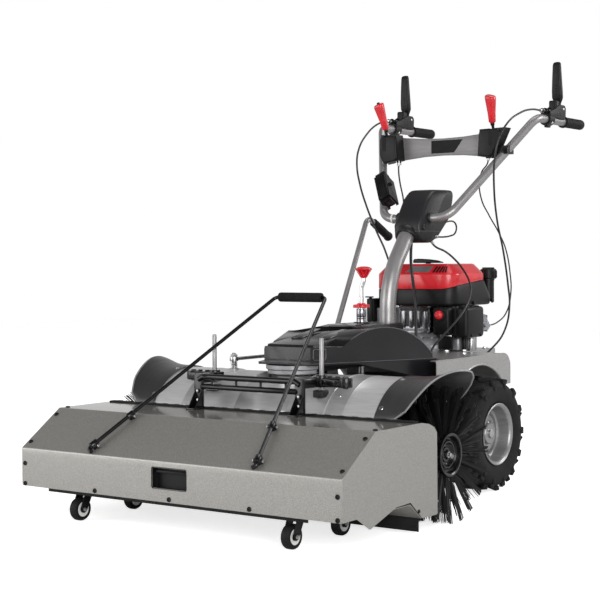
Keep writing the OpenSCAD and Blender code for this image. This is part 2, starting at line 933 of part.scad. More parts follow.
module gearbox() {
  color("gray")
    difference() {
      union() {
        rod_x(-52, 52, brush_y, brush_z, 64);
        block([-46, brush_y - 46, brush_z], [46, brush_y + 46, arm_bottom - free_gap - 16]);
        rod_z(290, arm_bottom - free_gap, 0, brush_y, 52);
        rod_z(290, arm_top + 2, 0, brush_y, neck_r);
        rod_z(arm_top + free_gap, 348, 0, brush_y, 42);
        rod_z(348, 358, 0, brush_y, 34);
        rod_x(-84, 84, brush_y, brush_z, 34);
      }
      rod_x(-90, 90, brush_y, brush_z, shaft_r + run_gap);
      rod_z(300, 360, 0, brush_y, 12 + run_gap);
    }
}

module gearbox_pulley() {
  color("silver")
    translate([0, brush_y, belt_mid])
      union() {
        pulley(large_pulley_r);
        translate([0, 0, -60])
          cylinder(r = 12, h = 66);
      }
}

// Part of a shell round the brush axis, between two angles from straight up
module round_cover(a0, a1) {
  translate([0, brush_y, brush_z])
    rotate([0, 90, 0])
      rotate([0, 0, 180 + a0])
        rotate_extrude(angle = a1 - a0)
          children();
}

module brush_cover() {
  color("gainsboro")
    both_sides() {
      round_cover(-54, 60)
        translate([cover_r - 2, cover_gap_x])
          square([2, cover_edge_x - cover_gap_x]);
      round_cover(-54, 60)
        translate([cover_r, 200])
          square([2, cover_edge_x - 200]);
      intersection() {
        block([84, brush_y - 70, brush_z], [87, brush_y + 70, 400]);
        rod_x(84, 87, brush_y, brush_z, cover_r - 1);
        difference() {
          block([80, brush_y - 80, brush_z], [90, brush_y + 80, 400]);
          rod_x(80, 90, brush_y, brush_z, shaft_r + 2);
        }
      }
    }
}

module wings() {
  color("#2b2a2c")
    both_sides()
      intersection() {
        round_cover(-54, 62)
          polygon([[cover_r + 2, cover_edge_x - 12], [cover_r + 2, 420], [197, 462], [207, 492],
                   [213, wing_tip_x], [215.5, wing_tip_x], [210, 492], [200, 462], [cover_r + 5, 420],
                   [cover_r + 5, cover_edge_x - 12]]);
        translate([0, 0, 200])
          linear_extrude(250)
            polygon([[300, -700], [452, -684], [466, -640], [478, -580], [503, -512], [wing_tip_x, -470],
                     [501, -430], [470, -398], [430, -372], [300, -350]]);
      }
}

module head_rods() {
  color("silver") {
    both_sides()
      difference() {
        union() {
          rod_z(310, 468, guide_x, guide_y, guide_r);
          block([guide_x - 15, guide_y - 20, 296], [guide_x + 15, guide_y + 12, 334]);
        }
        rod_x(100, 250, brush_y, brush_z, cover_r);
      }
    difference() {
      union() {
        rod_z(360, 410, link_x, brush_y, guide_r);
        rod_z(364, 367, link_x, brush_y, 13);
        rod_z(link_z + 7, link_z + 12, link_x, brush_y, 10);
      }
      rod_x(-260, -150, brush_y, brush_z, cover_r + 2);
    }
    swept(spring_route, spring_wire, 6, [0, 0, 1]);
  }
}

module brush_shaft() {
  color("gray")
    union() {
      rod_x(-brush_inner_x - 4, brush_inner_x + 4, brush_y, brush_z, shaft_r);
      both_sides() {
        difference() {
          rod_x(brush_inner_x, brush_outer_x - 4, brush_y, brush_z, hub_r);
          rod_x(brush_inner_x + 6, brush_outer_x, brush_y, brush_z, hub_r - 4);
        }
        difference() {
          rod_x(brush_outer_x - 12, brush_outer_x - 4, brush_y, brush_z, core_r + 3);
          rod_x(brush_outer_x - 9, brush_outer_x, brush_y, brush_z, core_r - 3);
        }
      }
    }
}

module bristles_right() {
  pitch = (brush_outer_x - 26 - brush_inner_x) / (bristle_rows - 1);
  color("#141414")
    union() {
      difference() {
        rod_x(brush_inner_x + 1, brush_outer_x - 12.5, brush_y, brush_z, core_r);
        rod_x(brush_inner_x, brush_outer_x, brush_y, brush_z, hub_r);
      }
      for (i = [0:bristle_rows - 1], j = [0:bristle_count - 1])
        translate([brush_inner_x + 7 + pitch * i, brush_y, brush_z])
          rotate([360 * (j + (i % 2) / 2) / bristle_count, 0, 0])
            translate([0, 0, core_r - 4])
              cylinder(r = 3, h = brush_r - core_r + 4, $fn = 4);
    }
}

module bristles_left() {
  mirror([1, 0, 0])
    bristles_right();
}

// Collecting box

module hopper_shell() {
  color("#8f8d89")
    difference() {
      plate_yz(-box_half_w + sheet_t, box_half_w - sheet_t,
               [[box_front, 82], [box_front, fold_z], [top_front, box_top_z], [top_rear, box_top_z],
                [top_rear, box_top_z - sheet_t], [top_front + 0.5, box_top_z - sheet_t],
                [box_front + sheet_t, fold_z - 0.8], [box_front + sheet_t, 82]]);
      block([-53.5, box_front - 1, 115], [53.5, box_front + 3, 165]);
    }
}

module hopper_sides() {
  color("#8f8d89")
    both_sides()
      plate_yz(box_half_w - sheet_t, box_half_w,
               [[box_front, 82], [box_front, fold_z], [top_front, box_top_z], [top_rear + 6, box_top_z],
                [top_rear + 42, box_top_z - 6], [top_rear + 66, box_top_z - 16],
                [top_rear + 78, box_top_z - 30], [top_rear + 80, 42], [top_rear + 7, 43],
                [top_rear - 47, floor_z + 4], [caster_rear + 1, floor_z + 2], [caster_front + 55, 51],
                [caster_front - 1, floor_z]]);
}

module hopper_floor() {
  color("#7d7b78")
    union() {
      plate_yz(-box_half_w + sheet_t, box_half_w - sheet_t,
               [[box_front + sheet_t + 3, floor_z], [top_rear - 47, floor_z], [top_rear + 4, 44],
                [top_rear + 2.8, 43], [top_rear - 47.6, floor_z - sheet_t],
                [box_front + sheet_t + 3, floor_z - sheet_t]]);
      for (x = [-caster_x, caster_x], y = [caster_front, caster_rear])
        difference() {
          rod_z(75, floor_z, x, y, 18);
          rod_z(74, floor_z + 3, x, y, 6 + run_gap);
        }
    }
}

module hopper_rubber() {
  color("#19191a") {
    block([95 - box_half_w, box_front + sheet_t, 74], [box_half_w - 95, box_front + sheet_t + 3, 100]);
    block([10 - box_half_w, top_rear + 4, 9], [box_half_w - 10, top_rear + 7, 44]);
    block([10 - box_half_w, top_rear - 16, box_top_z], [box_half_w - 10, top_rear + 5, box_top_z + 4]);
  }
}

module recess_grip() {
  color("#8a8886")
    difference() {
      block([-53, box_front, 115.5], [53, box_front + 24, 164.5]);
      block([-49, box_front - 1, 119.5], [49, box_front + 21, 160.5]);
    }
}

module lift_handle() {
  grip_y = (lift_top_z - fold_z - 12 * cos(incline)) / sin(incline);
  color("#1a1a1b")
    translate([0, box_front, fold_z])
      rotate([incline, 0, 0])
        union() {
          bent_bar([[-lift_foot_x, 26, 12], [-lift_grip_x, grip_y, 12], [lift_grip_x, grip_y, 12],
                    [lift_foot_x, 26, 12]], lift_r, 14);
          rod_x(-70, 70, grip_y, 12, 13);
          both_sides() {
            block([lift_foot_x - 11, 14, 0], [lift_foot_x + 9, 40, 15]);
            block([lift_foot_x - 47, 138, 0], [lift_foot_x - 21, 156, 19]);
          }
        }
}

module hitch_frame() {
  color("#1a1a1b")
    difference() {
      union() {
        both_sides() {
          block([guide_x - 26, top_rear - 56, box_top_z], [guide_x + 4, hitch_y + 3, box_top_z + 4]);
          block([guide_x - 26, hitch_y - 3, box_top_z], [guide_x + 4, hitch_y + 3, 366]);
          block([guide_x - 20, hitch_y, 346], [guide_x - 2, guide_y + 8, 364]);
          block([guide_x - 20, guide_y - 14, 350], [250, guide_y + 14, 362]);
          rod_z(350, 362, 250, guide_y, 14);
          rod_z(340, 372, guide_x, guide_y, 13);
        }
        rod_x(21 - guide_x, guide_x - 21, hitch_y, 360, 7);
        rod_x(21 - guide_x, guide_x - 21, hitch_y, 334, 6);
      }
      both_sides()
        rod_z(330, 380, guide_x, guide_y, guide_r + run_gap);
      both_sides()
        rod_y(hitch_y - 12, hitch_y + 8, guide_x - 11, 310, 5);
    }
}

module caster_fork(x, y, way) {
  color("#2a292b")
    translate([x, y, 0])
      union() {
        rod_z(66, 74.4, 0, 0, 17);
        rod_z(70, floor_z - sheet_t - free_gap, 0, 0, 6);
        both_sides()
          plate_yz(13, 15.5, [[-way * 14, 70], [way * (caster_trail - 8), 22], [way * (caster_trail + 8), 22],
                              [way * (caster_trail + 8), 40], [way * 16, 70]]);
        block([-15.5, -14, 66], [15.5, 14, 70]);
        rod_x(-17, 17, way * caster_trail, caster_r, 4);
      }
}

module caster_wheel(x, y, way) {
  color("#1b1b1c")
    translate([x - 12, y + way * caster_trail, caster_r])
      rotate([0, 90, 0])
        difference() {
          cylinder(r = caster_r, h = 24);
          translate([0, 0, -1])
            cylinder(r = 4 + run_gap, h = 26);
        }
}

module caster_fork_fl() {
  caster_fork(-caster_x, caster_front, -1);
}

module caster_fork_fr() {
  caster_fork(caster_x, caster_front, -1);
}

module caster_fork_rl() {
  caster_fork(-caster_x, caster_rear, 1);
}

module caster_fork_rr() {
  caster_fork(caster_x, caster_rear, 1);
}

module caster_wheel_fl() {
  caster_wheel(-caster_x, caster_front, -1);
}

module caster_wheel_fr() {
  caster_wheel(caster_x, caster_front, -1);
}

module caster_wheel_rl() {
  caster_wheel(-caster_x, caster_rear, 1);
}

module caster_wheel_rr() {
  caster_wheel(caster_x, caster_rear, 1);
}

place()
    deck_plate();
place()
    front_arm();
place()
    transmission_case();
place()
    belt_cover();
place()
    drive_belt();
place()
    steering_column();
place()
    engine_crankcase();
place()
    engine_shroud();
place()
    engine_cover();
place()
    muffler_guard();
place()
    intake();
place()
    console_cover();
place()
    handlebar();
place()
    dash_panel();
place()
    control_boxes();
place()
    hand_grips();
place()
    lever_brackets();
place()
    control_cables();
place()
    drive_axle();
place()
    wheel_rims();
place()
    tyres();
place()
    engine_pulley();
place()
    recoil_grip();
place()
    fuel_cap();
place()
    primer_bulb();
place()
    clutch_lever_left();
place()
    clutch_lever_right();
place()
    shift_lever_left();
place()
    shift_lever_right();
place()
    shift_button();
place()
    height_crank();
place()
    support_stem();
place()
    support_fork();
place()
    support_wheel();
place()
    angle_lever();
place()
    lever_grip();
place()
    link_rod();
place()
    gearbox();
place()
    gearbox_pulley();
place()
    brush_cover();
place()
    wings();
place()
    head_rods();
place()
    brush_shaft();
place()
    bristles_left();
place()
    bristles_right();
place()
    hopper_shell();
place()
    hopper_sides();
place()
    hopper_floor();
place()
    hopper_rubber();
place()
    recess_grip();
place()
    lift_handle();
place()
    hitch_frame();
place()
    caster_fork_fl();
place()
    caster_fork_fr();
place()
    caster_fork_rl();
place()
    caster_fork_rr();
place()
    caster_wheel_fl();
place()
    caster_wheel_fr();
place()
    caster_wheel_rl();
place()
    caster_wheel_rr();
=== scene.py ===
import math
import random

import bmesh
import bpy
from mathutils import Matrix, Vector


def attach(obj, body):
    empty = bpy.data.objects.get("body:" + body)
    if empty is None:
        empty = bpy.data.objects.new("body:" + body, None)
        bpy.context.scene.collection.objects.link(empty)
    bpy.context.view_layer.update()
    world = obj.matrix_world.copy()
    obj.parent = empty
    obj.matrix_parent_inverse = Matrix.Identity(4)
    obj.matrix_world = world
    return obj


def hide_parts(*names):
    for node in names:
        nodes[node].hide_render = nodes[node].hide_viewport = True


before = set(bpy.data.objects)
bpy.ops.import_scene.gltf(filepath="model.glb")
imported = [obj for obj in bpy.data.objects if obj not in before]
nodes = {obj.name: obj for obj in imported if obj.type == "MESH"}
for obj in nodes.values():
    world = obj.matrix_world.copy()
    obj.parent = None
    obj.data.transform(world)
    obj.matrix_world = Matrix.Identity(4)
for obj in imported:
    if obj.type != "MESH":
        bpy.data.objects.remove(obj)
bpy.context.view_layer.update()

# Pieces are drawn in millimetres, with Y counted from the axle, and moved to the shared frame at the end.
AXLE_Y = 178.0
TO_FRAME = Matrix.Scale(0.001, 4) @ Matrix.Translation((0, AXLE_Y, 0))
ALONG_X = Matrix.Rotation(math.pi / 2, 4, "Y")
ALONG_Y = Matrix.Rotation(-math.pi / 2, 4, "X")
SIDES = (-1, 1)

# Places that several pieces share
WHEEL_X, WHEEL_Z = 290, 165
BRUSH_Y, BRUSH_Z = -525.0, 175.5
GUIDE_X, GUIDE_Y = 176, -648
LINK_X, LINK_Z = -206, 393
LEVER_X, LEVER_Y, LEVER_Z = -193, -68, 290
CRANK_Y = -190
DECK_Z = 388
COLUMN_Y = -46
GRIP_X, GRIP_Z = 280, 1101
CLUTCH_Y, CLUTCH_Z = 528, 1138


def in_frame(p):
    return TO_FRAME @ Vector(p)


# Camera

def aim_camera():
    """Puts the camera where a fit to the photo found it."""
    turn, rise, roll = math.radians(35.54), math.radians(1.86), math.radians(-0.34)
    target, distance = (-45.1, -432.2, 540.0), 4.02246
    back = Vector((math.sin(turn) * math.cos(rise), -math.cos(turn) * math.cos(rise), math.sin(rise)))
    right = Vector((math.cos(turn), math.sin(turn), 0))
    up = back.cross(right)
    across = right * math.cos(roll) + up * math.sin(roll)
    upward = up * math.cos(roll) - right * math.sin(roll)
    lens = bpy.data.cameras.new("photo_camera")
    lens.sensor_width = 36
    lens.lens = 87.06
    lens.shift_y = 0.01
    camera = bpy.data.objects.new("photo_camera", lens)
    bpy.context.scene.collection.objects.link(camera)
    pose = Matrix((across, upward, back)).transposed().to_4x4()
    pose.translation = in_frame(target) + back * distance
    camera.matrix_world = pose
    bpy.context.scene.camera = camera


aim_camera()


# Materials

def linear(code):
    """An sRGB hex colour as linear RGBA."""
    parts = [int(code[i:i + 2], 16) / 255 for i in (1, 3, 5)]
    return tuple(c / 12.92 if c <= 0.04045 else ((c + 0.055) / 1.055) ** 2.4 for c in parts) + (1.0,)


def add(tree, kind, inputs=None, **settings):
    """Adds a node, sets it up and links the sockets given as inputs."""
    made = tree.nodes.new(kind)
    for name, value in settings.items():
        setattr(made, name, value)
    for name, value in (inputs or {}).items():
        if isinstance(value, bpy.types.NodeSocket):
            tree.links.new(value, made.inputs[name])
        else:
            made.inputs[name].default_value = value
    return made


def start(name):
    """A new material with its node tree and Object coordinates."""
    made = bpy.data.materials.new(name)
    made.use_nodes = True
    made.node_tree.nodes.clear()
    place = add(made.node_tree, "ShaderNodeTexCoord").outputs["Object"]
    return made, made.node_tree, place


def close(tree, shader):
    add(tree, "ShaderNodeOutputMaterial", {"Surface": shader.outputs[0]})


def principled(made, inputs):
    """Ends a material with a principled shader."""
    close(made.node_tree, add(made.node_tree, "ShaderNodeBsdfPrincipled", inputs))
    return made


def two_tone(tree, factor, dark, light):
    ramp = add(tree, "ShaderNodeValToRGB", {"Fac": factor})
    for stop, position, code in zip(ramp.color_ramp.elements, (0.32, 0.68), (dark, light)):
        stop.color = linear(code)
        stop.position = position
    return ramp.outputs["Color"]


def grain(tree, place, size_mm, detail=2.0, rough=0.5):
    """Noise whose spots are about size_mm across."""
    return add(tree, "ShaderNodeTexNoise", {"Vector": place, "Scale": 1000 / size_mm / 2, "Detail": detail,
                                            "Roughness": rough}).outputs["Fac"]


def spread(tree, factor, low, high):
    ends = {"Value": factor, "To Min": low, "To Max": high}
    return add(tree, "ShaderNodeMapRange", ends).outputs["Result"]


def raised(tree, height, depth_mm, strength):
    return add(tree, "ShaderNodeBump", {"Height": height, "Distance": depth_mm / 1000,
                                        "Strength": strength}).outputs["Normal"]


def hammered_silver():
    # Powder coat with metal flake on sheet steel: an even silver grey with a fine dark and light speckle.
    made, tree, place = start("speckled_silver_powder_coat")
    fleck = add(tree, "ShaderNodeTexVoronoi", {"Vector": place, "Scale": 1000 / 1.1}, feature="F1")
    shade = add(tree, "ShaderNodeSeparateColor", {"Color": fleck.outputs["Color"]}).outputs[0]
    tone = two_tone(tree, shade, "#8b8985", "#9f9d99")
    cloud = spread(tree, grain(tree, place, 160, 1), 0.34, 0.42)
    # Level faces are smooth and mirror what stands on them.
    normal = add(tree, "ShaderNodeNewGeometry").outputs["True Normal"]
    upward = add(tree, "ShaderNodeSeparateXYZ", {"Vector": normal}).outputs["Z"]
    band = {"Value": upward, "From Min": 0.98, "From Max": 0.998}
    level = add(tree, "ShaderNodeMapRange", band).outputs["Result"]
    gloss = add(tree, "ShaderNodeMix", {0: level, 2: cloud, 3: 0.13}).outputs[0]
    skin = raised(tree, fleck.outputs["Distance"], 0.04, spread(tree, level, 0.2, 0.01))
    return principled(made, {"Base Color": tone, "Metallic": 0.6, "Roughness": gloss, "Normal": skin})


def rolled_silver(name, dark, light, metallic, low, high):
    # Silver paint or plating on rolled steel: soft streaks along the sheet and slightly uneven gloss.
    made, tree, place = start(name)
    streak = add(tree, "ShaderNodeMapping", {"Vector": place, "Scale": (1.0, 9.0, 9.0)})
    tone = two_tone(tree, grain(tree, streak.outputs["Vector"], 30, 3), dark, light)
    gloss = spread(tree, grain(tree, place, 60, 2), low, high)
    skin = raised(tree, grain(tree, place, 1.6, 2), 0.01, 0.15)
    return principled(made, {"Base Color": tone, "Metallic": metallic, "Roughness": gloss, "Normal": skin})


def moulded(name, dark, light, low, high, pebble_mm, depth_mm, coat=0.0, shine=0.5):
    # Injection-moulded plastic: a pebbled skin from the mould and faint differences of gloss.
    made, tree, place = start(name)
    tone = two_tone(tree, grain(tree, place, 45, 2), dark, light)
    gloss = spread(tree, grain(tree, place, 25, 2), low, high)
    skin = raised(tree, grain(tree, place, pebble_mm, 2), depth_mm, 0.4)
    return principled(made, {"Base Color": tone, "Roughness": gloss, "Normal": skin,
                             "Specular IOR Level": shine, "Coat Weight": coat, "Coat Roughness": 0.12})


def bright_steel(name, dark, light, low, high, metallic=1.0):
    # Chromed, zinc-plated or painted steel: faint smears that blur its reflections.
    made, tree, place = start(name)
    tone = two_tone(tree, grain(tree, place, 14, 3), dark, light)
    gloss = spread(tree, grain(tree, place, 9, 3), low, high)
    return principled(made, {"Base Color": tone, "Metallic": metallic, "Roughness": gloss})


def cast_metal(name, dark, light, rough, metallic=0.8):
    # Die-cast or sand-cast metal: a dull, sandy skin with pits about a millimetre across.
    made, tree, place = start(name)
    skin = raised(tree, grain(tree, place, 1.8, 4, 0.6), 0.2, 0.5)
    tone = two_tone(tree, grain(tree, place, 20, 3), dark, light)
    return principled(made, {"Base Color": tone, "Metallic": metallic, "Roughness": rough, "Normal": skin})


def rubber(name, dark, light, rough):
    # Black rubber: nearly no shine, dusty in its hollows.
    made, tree, place = start(name)
    tone = two_tone(tree, grain(tree, place, 16, 4, 0.6), dark, light)
    gloss = spread(tree, grain(tree, place, 6, 3), rough - 0.08, rough + 0.08)
    skin = raised(tree, grain(tree, place, 1.2, 3), 0.15, 0.45)
    return principled(made, {"Base Color": tone, "Roughness": gloss, "Normal": skin,
                             "Specular IOR Level": 0.22})


FINISH = {
    "box": hammered_silver(),
    "deck": rolled_silver("silver_deck_paint", "#9d9c9b", "#a9a8a7", 0.6, 0.28, 0.36),
    "cover": rolled_silver("plated_cover_sheet", "#c6c5c5", "#d2d1d1", 0.55, 0.26, 0.36),
    "rim": rolled_silver("rim_paint", "#8b8a8a", "#999898", 0.7, 0.34, 0.42),
    "dash": rolled_silver("grey_panel_paint", "#727071", "#7a7879", 0.3, 0.40, 0.50),
    "sheet": rolled_silver("zinc_plated_sheet", "#b6b8be", "#c4c6cc", 0.25, 0.36, 0.46),
    "shell": moulded("charcoal_polypropylene", "#100f11", "#18171a", 0.22, 0.30, 4.0, 0.015, shine=0.4),
    "pod": moulded("satin_charcoal_abs", "#151416", "#1c1b1e", 0.40, 0.48, 2.0, 0.02, shine=0.35),
    # Lighter charcoal for beads along edges, seams and window frames: a painted highlight for the light those
    # edges catch.
    "bead": moulded("charcoal_painted_edge_highlight", "#3f3e41", "#4d4c4f", 0.30, 0.38, 1.4, 0.02),
    "wing": moulded("dark_grey_polypropylene", "#2a2a2b", "#333334", 0.30, 0.38, 1.4, 0.03, shine=0.45),
    # Pale grey for the wings' turned-out rims: a painted highlight for the light their flanges catch.
    "wing_edge": moulded("grey_polypropylene_painted_highlight", "#6f6e6f", "#8b8a8a", 0.36, 0.46, 1.4, 0.04),
    "black": moulded("black_nylon", "#0b0b0c", "#141415", 0.36, 0.48, 1.0, 0.03, shine=0.22),
    "gloss": moulded("black_enamel", "#060607", "#0d0d0e", 0.18, 0.28, 6.0, 0.02, 0.2, 0.3),
    "red": moulded("red_abs", "#bd1a24", "#d2232d", 0.24, 0.32, 8.0, 0.01, 0.2),
    "white": moulded("white_nylon", "#c9c8c5", "#dddcda", 0.34, 0.44, 1.4, 0.04),
    "bristle": moulded("bristle_fibre", "#080809", "#151516", 0.45, 0.62, 3.0, 0.02, shine=0.35),
    "cable": moulded("cable_sheath", "#0d0d0d", "#181818", 0.34, 0.46, 1.0, 0.02),
    "tube": bright_steel("silver_tube_paint", "#8d8b8b", "#959393", 0.34, 0.38, 0.6),
    "chrome": bright_steel("chromed_steel", "#b8b8ba", "#d6d6d8", 0.08, 0.18),
    "plated": bright_steel("nickel_plated_steel", "#747477", "#8d8d90", 0.20, 0.30),
    "rod": bright_steel("drawn_steel_rod", "#8e8d8d", "#9c9b9b", 0.38, 0.46, 0.6),
    "zinc": bright_steel("zinc_plated_steel", "#a5a6a6", "#c8c8c6", 0.24, 0.38),
    "alloy": cast_metal("die_cast_aluminium", "#8f8f92", "#aeaeb0", 0.46),
    "iron": cast_metal("painted_casting", "#2e2e30", "#434345", 0.55),
    "turret": cast_metal("bead_blasted_alloy", "#98989a", "#aaaaac", 0.45, 0.45),
    "grey_iron": cast_metal("silver_casting", "#7f7f80", "#9d9d9c", 0.48),
    "tyre": rubber("tyre_rubber", "#0d0d0d", "#171716", 0.70),
    "rubber": rubber("seal_rubber", "#0c0c0c", "#151515", 0.62),
    "grip": rubber("soft_grip_rubber", "#0d0d0e", "#161617", 0.66),
    "foam": rubber("closed_cell_foam", "#0e0e0e", "#1a1a1a", 0.90),
}


# Shaping in millimetres

def at(x, y, z=0.0):
    return Matrix.Translation((x, y, z))


def facing(way):
    """The turn that brings Z to a direction."""
    return Vector(way).to_track_quat("Z", "Y").to_matrix().to_4x4()


def flip(side):
    """The mirror across the centre line for side -1, and nothing for side 1."""
    return Matrix.Scale(side, 4, (1, 0, 0))


def only(geom, kind):
    return [g for g in geom if isinstance(g, kind)]


def read(table, x):
    """The value at x on the straight lines through a table's points."""
    for (x0, y0), (x1, y1) in zip(table, table[1:]):
        if x <= x1:
            return y0 + (y1 - y0) * (x - x0) / (x1 - x0)
    return table[-1][1]


def soften(bm, edges, offset, steps=2, clamp=False):
    bmesh.ops.bevel(bm, geom=edges, offset=offset, offset_type="OFFSET", segments=steps, profile=0.5,
                    affect="EDGES", clamp_overlap=clamp, material=-1)


def cut(bm, spot, way, **more):
    """Cuts all faces with a plane."""
    bmesh.ops.bisect_plane(bm, geom=bm.verts[:] + bm.edges[:] + bm.faces[:], dist=0.001, plane_co=spot,
                           plane_no=way, **more)


def strip(bm, points):
    """Vertices and edges along a line of points."""
    verts = [bm.verts.new(p) for p in points]
    return verts, [bm.edges.new(pair) for pair in zip(verts, verts[1:])]


def box(bm, low, high, soft=0.0, steps=2):
    """A block between two corners, with softened edges."""
    low, high = Vector(low), Vector(high)
    shape = Matrix.Translation((low + high) / 2) @ Matrix.Diagonal((*(high - low), 1))
    verts = bmesh.ops.create_cube(bm, size=1, matrix=shape)["verts"]
    if soft:
        soften(bm, list({e for v in verts for e in v.link_edges}), soft, steps)


def rod(bm, a, b, r, soft=0.0, sides=28):
    """A round bar between two points, with softened ends."""
    a, b = Vector(a), Vector(b)
    verts = bmesh.ops.create_cone(bm, cap_ends=True, segments=sides, radius1=r, radius2=r,
                                  depth=(b - a).length,
                                  matrix=Matrix.Translation((a + b) / 2) @ facing(b - a))["verts"]
    if soft:
        edges = {e for v in verts for e in v.link_edges}
        soften(bm, [e for e in edges if any(len(f.verts) > 4 for f in e.link_faces)], soft)


def nut(bm, a, b, r, soft=0.6):
    """A hexagonal head or nut between two points."""
    rod(bm, a, b, r, soft, 6)


def each(bm, shape, rows):
    """Builds one kind of shape from every row of values."""
    for row in rows:
        shape(bm, *row)


def lathe(bm, profile, place=Matrix(), sides=48, ring=False):
    """A profile of radius and height spun about Z, then put in place."""
    verts, edges = strip(bm, [(r, 0, h) for r, h in profile])
    if ring:
        edges.append(bm.edges.new((verts[-1], verts[0])))
    bmesh.ops.spin(bm, geom=verts + edges, cent=(0, 0, 0), axis=(0, 0, 1), angle=2 * math.pi, steps=sides,
                   use_merge=True)
    made = set(verts)
    reach = list(verts)
    while reach:
        for e in reach.pop().link_edges:
            for v in e.verts:
                if v not in made:
                    made.add(v)
                    reach.append(v)
    bmesh.ops.transform(bm, matrix=place, verts=list(made))
    bmesh.ops.remove_doubles(bm, verts=list(made), dist=0.002)


def rounded(path, radius, steps=5, closed=False):
    """The path with its corners turned into arcs."""
    points = [Vector(p) for p in path]
    out = []
    for i, p in enumerate(points):
        if not closed and i in (0, len(points) - 1):
            out.append(p)
            continue
        before = points[i - 1] - p
        after = points[(i + 1) % len(points)] - p
        half = before.angle(after) / 2
        if abs(half - math.pi / 2) < 0.01:
            out.append(p)
            continue
        r = min(radius, 0.45 * min(before.length, after.length) * math.tan(half))
        reach = r / math.tan(half)
        a, b = p + before.normalized() * reach, p + after.normalized() * reach
        centre = p + (before.normalized() + after.normalized()).normalized() * r / math.sin(half)
        for k in range(steps + 1):
            out.append(centre + (a - centre).slerp(b - centre, k / steps).normalized() * r)
    return out


def plate(bm, outline, along, soft=0.0, steps=2):
    """A flat outline of 3-D points pushed along a vector, with softened edges."""
    face = bm.faces.new([bm.verts.new(p) for p in outline])
    verts = only(bmesh.ops.extrude_face_region(bm, geom=[face])["geom"], bmesh.types.BMVert)
    bmesh.ops.translate(bm, verts=verts, vec=Vector(along))
    faces = {f for v in verts for f in v.link_faces} | {face}
    bmesh.ops.recalc_face_normals(bm, faces=list(faces))
    if soft:
        edges = {e for f in faces for e in f.edges}
        soften(bm, [e for e in edges if len(e.link_faces) == 2 and e.calc_face_angle(0) > 0.6], soft, steps)


def slab(bm, outline, corner, arcs, along, soft=0.0, steps=2):
    """A plate whose outline has round corners."""
    plate(bm, rounded(outline, corner, arcs, True), along, soft, steps)


def bent_sheet(bm, profile, along):
    """A profile of 3-D points pushed along a vector."""
    pushed = bmesh.ops.extrude_edge_only(bm, edges=strip(bm, profile)[1])["geom"]
    bmesh.ops.translate(bm, verts=only(pushed, bmesh.types.BMVert), vec=Vector(along))


def pipe(bm, path, r, sides=16):
    """A round bar swept along a path."""
    points = [Vector(p) for p in path]
    last = len(points) - 1
    ways = [(points[min(i + 1, last)] - points[max(i - 1, 0)]).normalized() for i in range(last + 1)]
    ring = set(bmesh.ops.create_circle(bm, cap_ends=True, radius=r, segments=sides,
                                       matrix=Matrix.Translation(points[0]) @ facing(ways[0]))["verts"])
    edges = list({e for v in ring for e in v.link_edges})
    for i in range(1, last + 1):
        grown = bmesh.ops.extrude_edge_only(bm, edges=edges)["geom"]
        ring = set(only(grown, bmesh.types.BMVert))
        edges = [e for e in only(grown, bmesh.types.BMEdge) if ring.issuperset(e.verts)]
        swing = ways[i - 1].rotation_difference(ways[i]).to_matrix().to_4x4()
        bmesh.ops.transform(bm, verts=list(ring), matrix=Matrix.Translation(points[i]) @ swing
                            @ Matrix.Translation(-points[i - 1]))
    bmesh.ops.contextual_create(bm, geom=edges)


def bead(bm, outline, r, sides=8):
    """A thin round bar along a closed outline."""
    pipe(bm, outline + outline[:1], r, sides)


def loft(bm, rings):
    """Joins closed rings of 3-D points, lowest first, and caps both ends."""
    rows = [[bm.verts.new(p) for p in ring] for ring in rings]
    for low, high in zip(rows, rows[1:]):
        for i in range(len(low)):
            j = (i + 1) % len(low)
            bm.faces.new((low[i], low[j], high[j], high[i]))
    bm.faces.new(rows[0][::-1])
    bm.faces.new(rows[-1])


def rounded_ring(w, y0, y1, r, inset, steps=10, back=None):
    """Points round a rectangle with round corners, symmetric across X, drawn in by inset."""
    out = []
    rear = back or r
    corners = ((w - rear, y1 - rear, rear), (rear - w, y1 - rear, rear), (r - w, y0 + r, r),
               (w - r, y0 + r, r))
    for k, (x, y, turn) in enumerate(corners):
        turn = max(turn - inset, 0.5)
        for i in range(steps + 1):
            a = math.pi / 2 * (k + i / steps)
            out.append((x + turn * math.cos(a), y + turn * math.sin(a)))
    return out


def screw_head(bm, p, way, r=5.0, h=2.6):
    """A pan-head screw with a socket, standing on a face."""
    lathe(bm, [(r, -0.4), (r, 0.5 * h), (0.8 * r, h), (0.42 * r, h), (0.36 * r, 0.4 * h), (0, 0.4 * h)],
          Matrix.Translation(p) @ facing(way), 12)


def put(bm, place, build):
    """Builds a shape by itself and adds it, moved into place."""
    part = bmesh.new()
    build(part)
    bmesh.ops.transform(part, matrix=place, verts=part.verts)
    if place.determinant() < 0:
        bmesh.ops.reverse_faces(part, faces=part.faces)
    made = bpy.data.meshes.new("part")
    part.to_mesh(made)
    part.free()
    bm.from_mesh(made)
    bpy.data.meshes.remove(made)


def both(bm, build):
    """Builds a shape and its mirror image across the centre line."""
    put(bm, Matrix(), build)
    put(bm, flip(-1), build)


def of_node(name, soft=0.0, steps=2, above=0.5, reshape=None, cuts=()):
    """A node's solid in millimetres: flat faces joined, cut across Y, given new heights, edges softened."""
    bm = bmesh.new()
    bm.from_mesh(nodes[name].data)
    bmesh.ops.transform(bm, matrix=TO_FRAME.inverted(), verts=bm.verts)
    bmesh.ops.remove_doubles(bm, verts=bm.verts, dist=0.01)
    bmesh.ops.dissolve_limit(bm, angle_limit=math.radians(1.5), verts=bm.verts, edges=bm.edges)
    for y in cuts:
        cut(bm, (0, y, 0), (0, 1, 0))
    for v in bm.verts if reshape else ():
        v.co.z = reshape(*v.co)
    if soft:
        edges = [e for e in bm.edges if len(e.link_faces) == 2 and e.calc_face_angle(0) > above]
        soften(bm, edges, soft, steps, True)
    return bm


